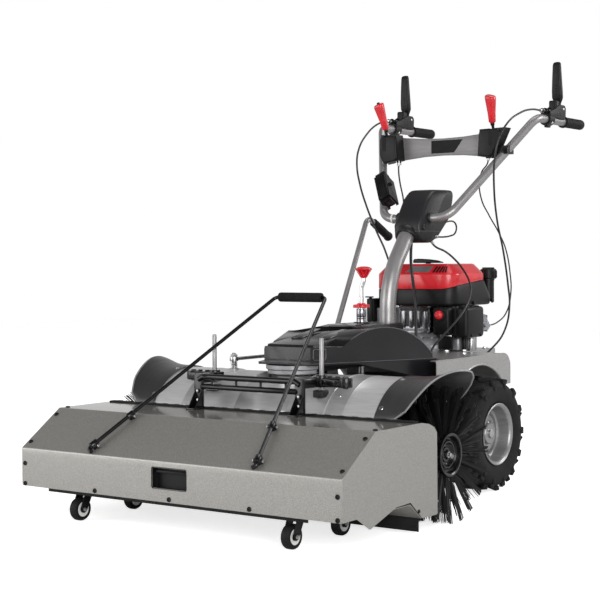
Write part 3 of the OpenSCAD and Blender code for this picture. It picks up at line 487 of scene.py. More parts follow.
def piece(name, bm, body, finish, stands_for=(), edge=0.0, smooth=35, tidy=True):
    """Turns a bmesh into a piece that rides on a body."""
    if tidy:
        bmesh.ops.remove_doubles(bm, verts=bm.verts, dist=0.002)
        bmesh.ops.recalc_face_normals(bm, faces=bm.faces)
    bmesh.ops.transform(bm, matrix=TO_FRAME, verts=bm.verts)
    mesh = bpy.data.meshes.new(name)
    bm.to_mesh(mesh)
    bm.free()
    mesh.materials.append(FINISH[finish])
    mesh.shade_smooth()
    mesh.set_sharp_from_angle(angle=math.radians(smooth))
    made = bpy.data.objects.new(name, mesh)
    bpy.context.scene.collection.objects.link(made)
    if edge:
        bevel = made.modifiers.new("soft_edges", "BEVEL")
        bevel.width = edge / 1000
        bevel.segments = 2
        bevel.limit_method = "ANGLE"
        bevel.angle_limit = math.radians(32)
    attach(made, body)
    if stands_for:
        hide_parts(*stands_for)
    return made


# Control cables: radius in millimetres, length in metres, and the route between two fittings
CABLES = {
    "clutch_cable_left": (3.0, 0.95, [
        (-279, 405, 1126), (-279, 342, 1112), (-272, 260, 1070), (-256, 190, 1017), (-235, 148, 966),
        (-200, 112, 901), (-165, 92, 837), (-120, 78, 758), (-85, 80, 687), (-64, 86, 604), (-70, 76, 520),
        (-75, 62, 450), (-75, 56, 410), (-75, 55, 388.4)]),
    "clutch_cable_right": (3.0, 1.05, [
        (279, 405, 1126), (278, 340, 1124), (275, 270, 1108), (268, 202, 1073), (256, 168, 1021),
        (243, 168, 962), (230, 188, 889), (215, 236, 785), (205, 294, 694), (200, 336, 586),
        (200, 346, 523), (204, 306, 447), (192, 250, 396), (168, 222, 370), (150.4, 216, 368)]),
    "shift_cable_right": (2.2, 0.72, [
        (172, 262, 976.4), (171, 258, 960), (164, 233, 932), (160, 226, 900), (159, 239, 853),
        (157, 292, 803), (155, 362, 748), (152, 415, 695), (148, 452, 615), (144, 464, 561),
        (138, 448, 500), (132, 392, 466), (126, 335, 458), (126, 326.4, 458)]),
    "shift_cable_left": (2.5, 0.21, [
        (-150, 262, 979.6), (-150, 261, 950), (-138, 248, 916), (-112, 222, 872), (-78, 186, 826),
        (-70, 184, 825), (-62.2, 184, 825)]),
    "throttle_lead": (4.6, 0.344, [
        (-5, 98, 715.5), (-2, 90, 690), (10, 72, 641), (22, 62, 599), (36, 50, 551), (46, 40, 501),
        (52, 28, 450), (56, 20, 410), (56, 19, 388.4)]),
    "brake_cable": (3.0, 0.53, [
        (50, 119, 723), (60, 130, 706), (84, 150, 690), (110, 162, 666), (142, 158, 634), (176, 136, 595),
        (200, 94, 560), (212, 36, 518), (206, -16, 479), (190, -62, 440), (178, -96, 405),
        (176, -100, 388.4)]),
    "console_loop": (2.5, 0.16, [
        (98, 128, 779), (99, 148, 782), (100, 166, 782), (101, 181.6, 775.6), (101, 188, 760),
        (98, 181.6, 744.4), (92, 166, 738), (82, 144, 734.6), (72, 132, 734.6), (62.2, 128, 735)]),
}


def lay_cables():
    for name, (r, length, route) in CABLES.items():
        line = bpy.data.curves.new(name, "CURVE")
        line.dimensions = "3D"
        line.bevel_depth = r / 1000
        line.bevel_resolution = 3
        line.resolution_u = 10
        line.use_fill_caps = True
        spline = line.splines.new("BEZIER")
        spline.bezier_points.add(len(route) - 1)
        for knot, p in zip(spline.bezier_points, route):
            knot.co = in_frame(p)
            knot.handle_left_type = knot.handle_right_type = "AUTO"
        line.materials.append(FINISH["cable"])
        made = bpy.data.objects.new(name, line)
        bpy.context.scene.collection.objects.link(made)
        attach(made, "chassis")
        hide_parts("control_cables")


lay_cables()

# Solids that stay as they are get their finish here.
for name, finish in (("drive_belt", "rubber"), ("engine_pulley", "zinc"), ("support_stem", "zinc"),
                     ("gearbox_pulley", "turret"), ("hopper_floor", "box")):
    nodes[name].data.materials.clear()
    nodes[name].data.materials.append(FINISH[finish])


# Collecting box

BOX_HALF, BOX_FRONT, BOX_TOP = 503.5, -1046, 274
SLOPE_Y, SLOPE_Z = -907, 181
SHEET = 1.5
SLOPE = math.atan2(BOX_TOP - SLOPE_Z, SLOPE_Y - BOX_FRONT)
RAMP = at(0, BOX_FRONT, SLOPE_Z) @ Matrix.Rotation(SLOPE, 4, "X")
# The lift handle's legs run from wide apart at the foot to close together at the grip.
LEG_FOOT, LEG_TOP, LEG_LOW, LEG_HIGH, LEG_OUT = 262, 83, 18, 674.5, 12


def on_ramp(x, up, out):
    """A point on the sloping panel: across, up the slope and out from it."""
    return RAMP @ Vector((x, up, out))


def on_leg(side, up, aside=0, out=LEG_OUT):
    """A point on a leg of the lift handle, or beside it."""
    x = side * (LEG_FOOT - (LEG_FOOT - LEG_TOP) * (up - LEG_LOW) / (LEG_HIGH - LEG_LOW))
    return on_ramp(x + aside, up, out)


def box_sheets():
    bm = bmesh.new()
    fold = [(BOX_FRONT, 82), (BOX_FRONT, SLOPE_Z), (SLOPE_Y, BOX_TOP), (-706, BOX_TOP)]
    bent_sheet(bm, rounded([(-BOX_HALF, y, z) for y, z in fold], 6, 4), (2 * BOX_HALF, 0, 0))
    half, low, high = 53.5, 115, 165
    for x in (-half, half):
        cut(bm, (x, 0, 0), (1, 0, 0))
    for z in (low, high):
        cut(bm, (0, 0, z), (0, 0, 1))
    middles = [(f, f.calc_center_median()) for f in bm.faces]
    window = [f for f, middle in middles if abs(middle.x) < half and low < middle.z < high]
    bmesh.ops.delete(bm, geom=window, context="FACES")
    bmesh.ops.recalc_face_normals(bm, faces=bm.faces)
    outward = next(f for f in bm.faces if f.normal.y * f.normal.y > 0.99).normal.y < 0
    bmesh.ops.solidify(bm, geom=bm.faces[:], thickness=SHEET if outward else -SHEET)
    piece("box_sheet", bm, "hopper", "box", ["hopper_shell"], smooth=25)

    bm = bmesh.new()
    edge = [(BOX_FRONT, 82), (BOX_FRONT, SLOPE_Z), (SLOPE_Y, BOX_TOP), (-700, BOX_TOP), (-664, 268),
            (-640, 258), (-628, 244), (-626, 42), (-699, 43), (-753, 88), (-818, 86), (-932, 51),
            (-988, 84)]
    outline = [(BOX_HALF, y, z) for y, z in edge]
    both(bm, lambda b: slab(b, outline, 5, 3, (SHEET, 0, 0), 0.4, 1))
    piece("box_side_plates", bm, "hopper", "box", ["hopper_sides"], smooth=30)


def box_screws():
    bm = bmesh.new()
    ahead, large = (0, -1, 0), (6.2, 3)
    for side in SIDES:
        for z in (141, 88):
            screw_head(bm, (side * 493, BOX_FRONT, z), ahead, *large)
        for share in (0.15, 0.83):
            screw_head(bm, on_ramp(side * 492, share * 167, 0), RAMP.to_3x3() @ Vector((0, 0, 1)), *large)
        screw_head(bm, (side * 492, -888, BOX_TOP), (0, 0, 1), *large)
        screw_head(bm, (side * 505, -716, 62), (side, 0, 0), 5, 2.4)
    for x in (-245, 0, 245):
        screw_head(bm, (x, BOX_FRONT, 90), ahead, *large)
    piece("box_screws", bm, "hopper", "black")


def recess():
    bm = bmesh.new()
    lip_y = BOX_FRONT - 1.6
    mouth = [(-55.5, lip_y, 113), (55.5, lip_y, 113), (55.5, lip_y, 167), (-55.5, lip_y, 167)]
    face = bm.faces.new([bm.verts.new(p) for p in rounded(mouth, 6, 4, True)])
    for width in (7.5, 1.2):
        bmesh.ops.inset_individual(bm, faces=[face], thickness=width, depth=0)
    pushed = bmesh.ops.extrude_face_region(bm, geom=[face])["geom"]
    bmesh.ops.translate(bm, verts=only(pushed, bmesh.types.BMVert), vec=(0, 21, 0))
    bmesh.ops.delete(bm, geom=[face], context="FACES_ONLY")
    back = bmesh.ops.extrude_edge_only(bm, edges=[e for e in bm.edges if e.is_boundary])["geom"]
    bmesh.ops.translate(bm, verts=only(back, bmesh.types.BMVert), vec=(0, 1.6, 0))
    box(bm, (-47, -1040, 152), (47, -1036, 158), 1.5)
    piece("recess_tray", bm, "hopper", "black", ["recess_grip"], edge=0.6)


def box_rubber():
    bm = bmesh.new()
    each(bm, box, (((-410, -1044.5, 74), (410, -1041.5, 100), 0.6), ((-495, -702, 9), (495, -699, 44), 0.6),
                   ((-495, -722, BOX_TOP), (495, -701, 278), 1.2)))
    for i in range(24):
        x = -474 + 41.2 * i
        box(bm, (x, -716, 277.5), (x + 16, -705, 279.2), 0.5, 1)
    piece("box_seals", bm, "hopper", "rubber", ["hopper_rubber"])


def lift_handle():
    clamps = ((26, 9.5), (147, 8))
    bm = bmesh.new()
    path = [on_leg(-1, LEG_LOW), on_leg(-1, LEG_HIGH), on_leg(1, LEG_HIGH), on_leg(1, LEG_LOW)]
    pipe(bm, rounded(path, 16, 7), 5, 14)
    for side in SIDES:
        along = (on_leg(side, LEG_HIGH) - on_leg(side, LEG_LOW)).normalized()
        for up, size in clamps:
            p = on_leg(side, up)
            rod(bm, p - along * 11, p + along * 11, size, 2.5)
            rod(bm, on_leg(side, up, -13, 8), on_leg(side, up, 13, 8), 6.5, 2)
            rod(bm, on_leg(side, up, 0, 0), on_leg(side, up, 0, 10), 8.5, 1)
        foot = [on_ramp(side * 262, 22, 12), on_ramp(side * 265, 9, 9), on_ramp(side * 255, 3, 6)]
        pipe(bm, rounded(foot, 6, 4), 5.5, 12)
    piece("lift_bar", bm, "hopper", "gloss", ["lift_handle"])

    bm = bmesh.new()
    lathe(bm, [(0, 0), (10, 0), (12.4, 1.2), (13, 4), (13, 136), (12.4, 138.8), (10, 140), (0, 140)],
          RAMP @ at(-70, LEG_HIGH, LEG_OUT) @ ALONG_X, 36)
    piece("lift_grip_sleeve", bm, "hopper", "foam")

    bm = bmesh.new()
    for side in SIDES:
        for up, size in clamps:
            for way in SIDES:
                screw_head(bm, on_leg(side, up, way * 13, 8), (way, 0, 0), 4.5, 3.5)
    piece("lift_bar_screws", bm, "hopper", "zinc")


def hitch():
    bm = bmesh.new()

    def half(b):
        each(b, box, (((150, -764, 274), (182, -725, 278), 1.2), ((150, -731, 274), (180, -725, 366), 1.6),
                      ((153, -728, 342), (178, -662, 367), 4), ((155, -664, 342), (167, -632, 367), 3),
                      ((185, -666, 343), (252, -631, 367), 6, 3)))
        for x in (152, 175):
            plate(b, [(x, -728, 276), (x, -762, 276), (x, -731, 322), (x, -728, 322)], (3, 0, 0), 0.6, 1)
        rod(b, (250, GUIDE_Y, 343), (250, GUIDE_Y, 368), 18, 3)
        nut(b, (250, GUIDE_Y, 340), (250, GUIDE_Y, 371), 7, 0.8)
        lathe(b, [(6.4, 341.5), (14, 341.5), (15, 343), (15, 370), (14, 372), (6.4, 372)],
              at(GUIDE_X, GUIDE_Y), 28, True)
        for x in (200, 228):
            nut(b, (x, -670, 355), (x, -664, 355), 6)
        for z in (298, 322):
            nut(b, (165, -735, z), (165, -730, z), 6)
        for x in (202, 226):
            nut(b, (x, GUIDE_Y, 366), (x, GUIDE_Y, 371), 6)
    both(bm, half)
    pipe(bm, rounded([(-165, -728, 352), (-150, -728, 360), (150, -728, 360), (165, -728, 352)], 10), 8, 16)
    rod(bm, (-156, -728, 334), (156, -728, 334), 7.5, 1)
    for x in (-120, -40, 40, 120):
        rod(bm, (x, -728, 333), (x, -728, 361), 3.2)
    piece("hitch_bars", bm, "hopper", "gloss", ["hitch_frame"])

    bm = bmesh.new()
    for side in SIDES:
        for z in (298, 322):
            rod(bm, (side * 165, -737, z), (side * 165, -734, z), 3.4, 0.6, 12)
    piece("hitch_bolts", bm, "hopper", "zinc")


def caster(name, x, y, way):
    fork, wheel = "caster_fork_" + name, "caster_wheel_" + name
    hub, hub_z = y + 18 * way, 30
    bm = bmesh.new()
    lathe(bm, [(0, 66), (15, 66), (17, 67.5), (17, 73), (16, 74.4), (6, 74.4), (6, 81.9), (0, 81.9)],
          at(x, y), 32)
    leaf = [(y - way * 15, 70), (hub - way * 8, 24), (hub, 20.5), (hub + way * 8, 24), (hub + way * 9, 42),
            (y + way * 16, 70)]
    for side in SIDES:
        slab(bm, [(x + side * 13, *p) for p in leaf], 5, 3, (side * 2.5, 0, 0), 0.6, 1)
    box(bm, (x - 15.5, y - 14, 66), (x + 15.5, y + 14, 70), 1.5)
    piece(fork + "_yoke", bm, fork, "black", [fork])
    bm = bmesh.new()
    nut(bm, (x - 19, hub, hub_z), (x + 19, hub, hub_z), 5.2, 0.8)
    rod(bm, (x - 21, hub, hub_z), (x + 21, hub, hub_z), 3.4, 0.8)
    piece(fork + "_bolt", bm, fork, "zinc")
    place = at(x, hub, hub_z) @ ALONG_X
    bm = bmesh.new()
    lathe(bm, [(19, -11), (24, -12), (27.5, -11), (29.6, -7), (30, 0), (29.6, 7), (27.5, 11), (24, 12),
               (19, 11)], place, 40, True)
    lathe(bm, [(4.05, -11), (9, -11), (9, 11), (4.05, 11)], place, 24, True)
    piece(wheel + "_tread", bm, wheel, "rubber", [wheel])
    bm = bmesh.new()
    lathe(bm, [(9, -9), (12, -9.5), (18, -11.6), (19.2, -11.2), (19.2, 11.2), (18, 11.6), (12, 9.5),
               (9, 9)], place, 40, True)
    piece(wheel + "_rim", bm, wheel, "white")


box_sheets()
box_screws()
recess()
box_rubber()
lift_handle()
hitch()
for name, x, y, way in (("fl", -336, -987, -1), ("fr", 336, -987, -1), ("rl", -336, -819, 1),
                        ("rr", 336, -819, 1)):
    caster(name, x, y, way)


# Drive wheels

LUGS = 14
TREAD = [(80.5, -42), (88, -46), (92, -50), (104, -54.5), (118, -57), (130, -57), (141, -54), (148, -48),
         (152, -40), (153, -20), (153.5, 0), (153, 20), (152, 40), (148, 48), (141, 54), (130, 57),
         (118, 57), (104, 54.5), (92, 50), (88, 46), (80.5, 42)]
DISC = [(12.6, -44), (30, -44), (30, 2), (36, 3), (44, 8), (52, 9), (60, 5), (70, 4), (75, 8), (76.5, 2),
        (76.5, -38), (80, -45), (88, -49), (89, -51.5), (87, -52), (79, -48), (78.5, -43), (79, -38),
        (79, 38), (79.5, 44), (87.5, 48.5), (89, 50.5), (89, 53), (87, 54), (84, 52.5), (79, 49), (77, 44),
        (76.5, 22), (74, 13), (69, 9), (60, 10), (53, 14), (45, 13), (37, 9), (30, 9), (30, 25), (28.5, 27),
        (12.6, 27)]


def wheels():
    tread, rim, axle = bmesh.new(), bmesh.new(), bmesh.new()
    for side in SIDES:
        hub = at(side * WHEEL_X, 0, WHEEL_Z) @ flip(side) @ ALONG_X
        lathe(tread, TREAD, hub, 72, True)
        for i in range(LUGS):
            for way in SIDES:
                turn = hub @ Matrix.Rotation(2 * math.pi * (i + way / 4) / LUGS, 4, "Z")
                bar = turn @ at(0, 0, way * 25) @ Matrix.Rotation(way * math.radians(32), 4, "X")
                put(tread, bar, lambda b: box(b, (150, -7.5, -25), (163.6, 7.5, 25), 2.2))
                turn = turn @ Matrix.Rotation(math.radians(5) * way, 4, "Z")
                turn = turn @ Matrix.Scale(way, 4, (0, 0, 1))
                put(tread, turn, lambda b: box(b, (143, -10, 43), (157, 10, 54.5), 2.5))
                put(tread, turn, lambda b: box(b, (128, -6, 54), (142, 6, 58.2), 1.8))
        lathe(rim, DISC, hub, 72, True)
        rod(rim, hub @ Vector((66, 0, 10)), hub @ Vector((66, 0, 26)), 3.5, 0.8)
        for i in range(4):
            spot = Matrix.Rotation(math.pi * (2 * i + 1) / 4, 4, "Z") @ Vector((41, 0, 10))
            nut(rim, hub @ spot, hub @ (spot + Vector((0, 0, 5))), 5)
        rod(axle, (side * 300, 0, WHEEL_Z), (side * 322, 0, WHEEL_Z), 12.6, 1.6)
        rod(axle, (side * 309, -3, WHEEL_Z - 34), (side * 309, 3, WHEEL_Z + 34), 3, 0.8)
    rod(axle, (-306, 0, WHEEL_Z), (306, 0, WHEEL_Z), 12.5)
    piece("tyre_treads", tread, "drive_wheels", "tyre", ["tyres"], smooth=40)
    piece("wheel_discs", rim, "drive_wheels", "rim", ["wheel_rims"])
    piece("axle_bar", axle, "drive_wheels", "zinc", ["drive_axle"])


# Brush

ROWS, TUFTS, STRANDS = 26, 18, 16
CORE_R, TIP_R = 46, 175
ROW_START, ROW_SPAN, TIP_X = 103, 368, 499


def one_strand():
    """A bristle of unit length that stands on the origin."""
    bm = bmesh.new()
    bmesh.ops.create_cone(bm, cap_ends=True, segments=3, radius1=1.35, radius2=0.95, depth=1,
                          matrix=at(0, 0, 0.5))
    sides = [e for e in bm.edges if abs(e.verts[0].co.z - e.verts[1].co.z) > 0.5]
    bmesh.ops.subdivide_edges(bm, edges=sides, cuts=1)
    made = bpy.data.meshes.new("strand")
    bm.to_mesh(made)
    bm.free()
    return made


def brush():
    chance = random.Random(7)
    strand = one_strand()

    def stray(degrees):
        return math.radians(chance.gauss(0, degrees))

    for name, side in (("left", -1), ("right", 1)):
        bm = bmesh.new()
        for bunch in range(TUFTS * ROWS):
            row, spot = divmod(bunch, TUFTS)
            middle = ROW_START + ROW_SPAN * row / (ROWS - 1) + chance.gauss(0, 1.5)
            swing = 2 * math.pi * (spot + 0.5 * (row % 2)) / TUFTS + stray(1.2)
            tilt = stray(1.4) + 0.2 * max(0.0, (middle - 420) / 51)
            for _ in range(STRANDS):
                x = middle + chance.gauss(0, 3.0)
                fan = stray(2.3)
                angle = swing + stray(0.7)
                reach = TIP_R - CORE_R - abs(chance.gauss(0, 2.2)) - 4 * abs(fan)
                lean = min(tilt + stray(2.0), math.asin(min(max(TIP_X - x, 0) / reach, 1)))
                root = at(side * x, BRUSH_Y, BRUSH_Z) @ Matrix.Rotation(angle, 4, "X") @ at(0, 0, CORE_R)
                root = root @ Matrix.Rotation(fan, 4, "X") @ Matrix.Rotation(side * lean, 4, "Y")
                one = strand.copy()
                one.transform(root @ Matrix.Diagonal((1, 1, reach, 1)))
                bm.from_mesh(one)
                bpy.data.meshes.remove(one)
        piece("bristle_strands_" + name, bm, "brush", "bristle", ["bristles_" + name],
              tidy=False)
    bpy.data.meshes.remove(strand)

    core, axle = bmesh.new(), bmesh.new()
    for side in SIDES:
        along = at(0, BRUSH_Y, BRUSH_Z) @ flip(side) @ ALONG_X
        lathe(core, [(20, 94), (52, 94), (52, 478), (55, 479), (55.5, 482), (55, 486), (51, 486.6),
                     (48, 485), (46.4, 476), (44, 472), (39, 471), (36, 474), (34, 477.5), (31, 477.5),
                     (28, 471), (24, 468), (20, 468), (18, 472), (13, 472), (12, 468), (0, 468)], along, 56)
        lathe(axle, [(0, 88), (20, 88), (20, 96), (0, 96)], along, 32)
        inner = (side * 466, BRUSH_Y, BRUSH_Z)
        nut(axle, inner, (side * 480, BRUSH_Y, BRUSH_Z), 9, 0.8)
        rod(axle, inner, (side * 485, BRUSH_Y, BRUSH_Z), 5, 1)
    rod(axle, (-90, BRUSH_Y, BRUSH_Z), (90, BRUSH_Y, BRUSH_Z), 20)
    piece("brush_cores", core, "brush", "gloss", ["brush_shaft"])
    piece("brush_axle", axle, "brush", "zinc")


# Brush head

WING_FRONT = [(300, -692), (420, -690), (448, -680), (466, -648), (482, -590), (500, -530), (512, -478)]
WING_REAR = [(300, -374), (420, -374), (450, -388), (478, -408), (500, -434), (512, -466)]
WING_R = [(300, 191), (400, 191.5), (420, 192.5), (440, 195), (462, 199.5), (482, 205.5), (500, 210.5),
          (512, 213.5)]


def over_brush(x, r, angle):
    """A point at a radius from the brush axis, at an angle in degrees from straight up towards the front."""
    a = math.radians(angle)
    return Vector((x, BRUSH_Y - r * math.sin(a), BRUSH_Z + r * math.cos(a)))


def on_wing(x, y, out=0.0):
    """A point on a wing, or above it."""
    return x, y, BRUSH_Z + math.sqrt(max(read(WING_R, x) ** 2 - (y - BRUSH_Y) ** 2, 1)) + out


def covers():
    bm = bmesh.new()

    def half(b):
        line = [(85, 184.5), (85.6, 187.2), (87, 188), (198, 188), (200, 188.4), (202, 190.6), (205, 191.6),
                (208, 190.6), (209, 190), (262, 190), (263, 190.5), (264, 190), (365, 190), (366, 189.2),
                (366, 187)]
        verts, edges = strip(b, [over_brush(x, r, -54) for x, r in line])
        bmesh.ops.spin(b, geom=verts + edges, cent=(0, BRUSH_Y, BRUSH_Z), axis=(1, 0, 0),
                       angle=math.radians(114), steps=44, use_merge=False)
        wall = [over_brush(84, 186.5, a) for a in range(-22, 23, 4)]
        plate(b, wall + [Vector((84, -455, 196)), Vector((84, -595, 196))], (2.5, 0, 0))
    both(bm, half)
    bent_sheet(bm, [over_brush(-86, 187.4, a) for a in range(24, 61, 3)], (172, 0, 0))
    made = piece("cover_sheets", bm, "head", "cover", ["brush_cover"], smooth=28)
    sheet = made.modifiers.new("sheet", "SOLIDIFY")
    sheet.thickness = 0.0016
    sheet.offset = -1

    bm = bmesh.new()
    for side in SIDES:
        for x, r, angle, size, height in ((372, 191.4, 14, 6.5, 3.5), (372, 191.4, 50, 6.5, 3.5),
                                          (372, 191.4, -30, 6.5, 3.5), (232, 190, 22, 4, 2),
                                          (232, 190, 40, 4, 2)):
            p = over_brush(side * x, r, angle)
            screw_head(bm, p, p - over_brush(side * x, 0, angle), size, height)
    piece("cover_screws", bm, "head", "zinc")


def wings():
    shell, rim = bmesh.new(), bmesh.new()

    def half(b):
        bmesh.ops.create_grid(b, x_segments=40, y_segments=36, size=0.5)
        for v in b.verts:
            x = 360 + 151.5 * (v.co.x + 0.5)
            front, rear = read(WING_FRONT, x), read(WING_REAR, x)
            v.co = on_wing(x, front + (rear - front) * (v.co.y + 0.5))
        bmesh.ops.solidify(b, geom=b.faces[:], thickness=-2.6)
    both(shell, half)
    piece("wing_shells", shell, "head", "wing", ["wings"], smooth=50)

    # The pale rim along each wing's edge is a painted highlight where the flange catches light.
    def half_rim(b):
        spots = [360.5 + 150.5 * k / 35 for k in range(36)]
        line = [on_wing(x, read(WING_FRONT, x), 1.2) for x in spots]
        pipe(b, line + [on_wing(x, read(WING_REAR, x), 1.2) for x in reversed(spots)], 2.6, 8)
    both(rim, half_rim)
    piece("wing_rims", rim, "head", "wing_edge")


def head_fittings():
    bm = bmesh.new()

    def half(b):
        rod(b, (GUIDE_X, GUIDE_Y, 312), (GUIDE_X, GUIDE_Y, 462), 6, 0.5)
        lathe(b, [(6, 462), (5.8, 465), (4.6, 467.4), (2, 468), (0, 468)], at(GUIDE_X, GUIDE_Y), 28)
        lathe(b, [(6, 334), (10, 334), (10, 338), (6, 338)], at(GUIDE_X, GUIDE_Y), 6, True)
    both(bm, half)
    link = at(LINK_X, BRUSH_Y)
    lathe(bm, [(0, 358), (13, 358), (13, 366.4), (12.4, 367), (6, 367), (6, 386), (0, 386)], link, 32)
    lathe(bm, [(6.2, 399.6), (10.4, 399.6), (10.4, 405.5), (6.2, 405.5)], link, 6, True)
    lathe(bm, [(0, 385), (5.9, 385), (5.9, 408.5), (5, 410), (0, 410)], link, 28)
    piece("guide_rods", bm, "head", "rod", ["head_rods"])
    bm = bmesh.new()
    both(bm, lambda b: box(b, (161, -668, 315), (191, -636, 334), 3))
    piece("head_castings", bm, "head", "iron")
    bm = bmesh.new()
    lathe(bm, [(13, 349), (44, 349), (46, 350.5), (46, 355.5), (44, 357), (13, 357)], at(0, BRUSH_Y), 48,
          True)
    piece("turret_ring", bm, "head", "turret")
    bm = bmesh.new()
    turns, per_turn, low, rise = 5, 24, 368, 17.5
    coil = []
    for k in range(turns * per_turn + 1):
        a = 2 * math.pi * k / per_turn
        coil.append((LINK_X + 9 * math.cos(a), BRUSH_Y + 9 * math.sin(a),
                     low + rise * k / (turns * per_turn)))
    pipe(bm, coil, 1, 8)
    piece("link_spring", bm, "head", "chrome")


wheels()
brush()
covers()
wings()
head_fittings()


# Engine

FUEL = at(112, 372)
HOOD_W, HOOD_FRONT, HOOD_CORNER = 140, 95, 42


def hood_ring(inset, rear, rear_corner):
    return rounded_ring(HOOD_W, HOOD_FRONT, rear, HOOD_CORNER, inset, 14, rear_corner)


def parting(x, y):
    """Height of the wavy line between the red cover and the black shroud, which rises towards the filler."""
    t = min(max((0.81 * x + 0.58 * y - 120) / 145, 0.0), 1.0)
    return 576 + 25 * t * t * (3 - 2 * t)


def level_rings(rows, rear, rear_corner):
    """Rings of the hood's outline, from rows of inset and height."""
    return [[(x, y, z) for x, y in hood_ring(inset, rear, rear_corner)] for inset, z in rows]


def wavy_rings(rows, rear, rear_corner):
    """Rings of the hood's outline that follow the parting line, from rows of inset and height above it."""
    return [[(x, y, parting(x, y) + up) for x, y in hood_ring(inset, rear, rear_corner)]
            for inset, up in rows]


def on_chamfer(along, rise):
    """A point on the cover's chamfer: along its front edge, round the right corner, and up the slope."""
    inset, z = 2.6 + 23.4 * rise, 624.5 + 23.5 * rise
    if along < 32:
        return Vector((66 + along, HOOD_FRONT + inset, z))
    a = (along - 32) / HOOD_CORNER - math.pi / 2
    r = HOOD_CORNER - inset
    return Vector((98 + r * math.cos(a), HOOD_FRONT + HOOD_CORNER + r * math.sin(a), z))


def engine_top():
    bm = bmesh.new()
    rings = wavy_rings(((3.0, 0.3), (0.6, 0.6), (0.0, 2.0)), 346, 78)
    loft(bm, rings + level_rings(((0, 619), (0.6, 622), (2.6, 624.5), (26, 648), (29, 651), (34, 652.8)),
                                 346, 78))
    piece("engine_hood", bm, "chassis", "red", ["engine_cover"], smooth=32)

    bm = bmesh.new()
    rings = level_rings(((10, 525), (3, 526.5), (0.8, 530), (0, 534), (0, 552)), 375, 60)
    loft(bm, rings + wavy_rings(((0, -2.2), (0.7, -0.8), (3.2, -0.3)), 350, 76))
    lathe(bm, [(0, 533), (15, 533), (18, 536), (18, 598), (19.5, 599), (19.5, 604), (13.4, 604),
               (13.4, 580), (0, 580)], FUEL, 36)
    rod(bm, (124, 352, 533), (124, 352, 545), 9, 2)
    rod(bm, (140, 340, 538), (146, 340, 538), 8, 1.5)
    for x, y in ((-105, 100), (20, 95.6), (112, 103), (140, 220)):
        box(bm, (x - 6, y - 2, 527), (x + 6, y + 6, 538), 1.5)
    piece("engine_skirt", bm, "chassis", "black", ["engine_shroud"], smooth=32)

    # Five dark strips on the chamfer are painted shade, standing for the dark insides of the vent slits.
    bm = bmesh.new()
    for i in range(5):
        corners = ((0, 0.1), (7.4, 0.1), (11.6, 0.88), (4.2, 0.88))
        slit = [on_chamfer(11 * i + along, rise) for along, rise in corners]
        away = (slit[1] - slit[0]).cross(slit[3] - slit[0]).normalized()
        slab(bm, [p - away * 0.3 for p in slit], 2.2, 3, away * 0.9, 0.2, 1)
    rod(bm, (0, 190, 651), (0, 190, 653.6), 15, 1)
    piece("hood_vents", bm, "chassis", "rubber")
    bm = bmesh.new()
    plate(bm, [(-28, 100.2, 627.6), (54, 100.2, 627.6), (62, 118, 645.6), (-12, 118, 645.6)],
          (0, -0.7, 0.7), 0.3, 1)
    piece("hood_plate", bm, "chassis", "dash")

    bm = bmesh.new()
    bow = [(-50, 655.4), (50, 655.4), (50, 658.5), (30, 664), (0, 667.4), (-32, 669), (-47, 668),
           (-50, 662)]
    slab(bm, [(x, 180, z) for x, z in bow], 5, 3, (0, 20, 0), 3.0, 3)
    rod(bm, (0, 190, 653.8), (0, 190, 659), 7.8, 0.6)
    piece("recoil_handle", bm, "recoil_grip", "black", ["recoil_grip"])

    bm = bmesh.new()
    lathe(bm, [(0, 586), (12.8, 586), (12.8, 604.4), (23, 604.4), (25.4, 607), (26.4, 628), (24.6, 634),
               (19, 637), (0, 637.6)], FUEL, 40)
    ribs = 22
    for i in range(ribs):
        put(bm, FUEL @ Matrix.Rotation(2 * math.pi * i / ribs, 4, "Z"),
            lambda b: box(b, (24.6, -1.8, 608), (27.6, 1.8, 630), 0.8, 1))
    put(bm, FUEL, lambda b: box(b, (-20, -4, 635), (20, 4, 640.4), 1.4))
    piece("filler_cap", bm, "fuel_cap", "black", ["fuel_cap"])


def muffler():
    bm = bmesh.new()
    rows = ((3, 444), (0, 446), (0.4, 449), (4, 455), (6, 466), (6.6, 485), (6, 504), (4, 514), (0.4, 520),
            (0, 523), (3, 525.5), (9, 526))
    loft(bm, [[(x + 19, y, z) for x, y in rounded_ring(57, 70, 118, 9, inset, 6)] for inset, z in rows])
    for x in (-26, 0, 26, 52):
        slab(bm, [(x, 75.2, 459), (x + 14, 75.2, 459), (x + 14, 75.2, 511), (x, 75.2, 511)], 5, 4,
             (0, -2.4, 0), 1.0)
    for z in (460, 476, 492, 506):
        slab(bm, [(69.4, 82, z), (69.4, 106, z), (69.4, 106, z + 8), (69.4, 82, z + 8)], 3, 3, (2, 0, 0),
             0.8)
    for x in (-34, 72):
        for z in (447, 523):
            nut(bm, (x, 68, z), (x, 78, z), 4.2)
    piece("muffler_shield", bm, "chassis", "plated", ["muffler_guard"], smooth=40)
    bm = bmesh.new()
    for x, width in ((-34, 10), (-11, 10), (15, 10), (41, 5), (67, 5)):
        box(bm, (x, 75.4, 461), (x + width, 78, 509), 0.8, 1)
    piece("muffler_slots", bm, "chassis", "iron")


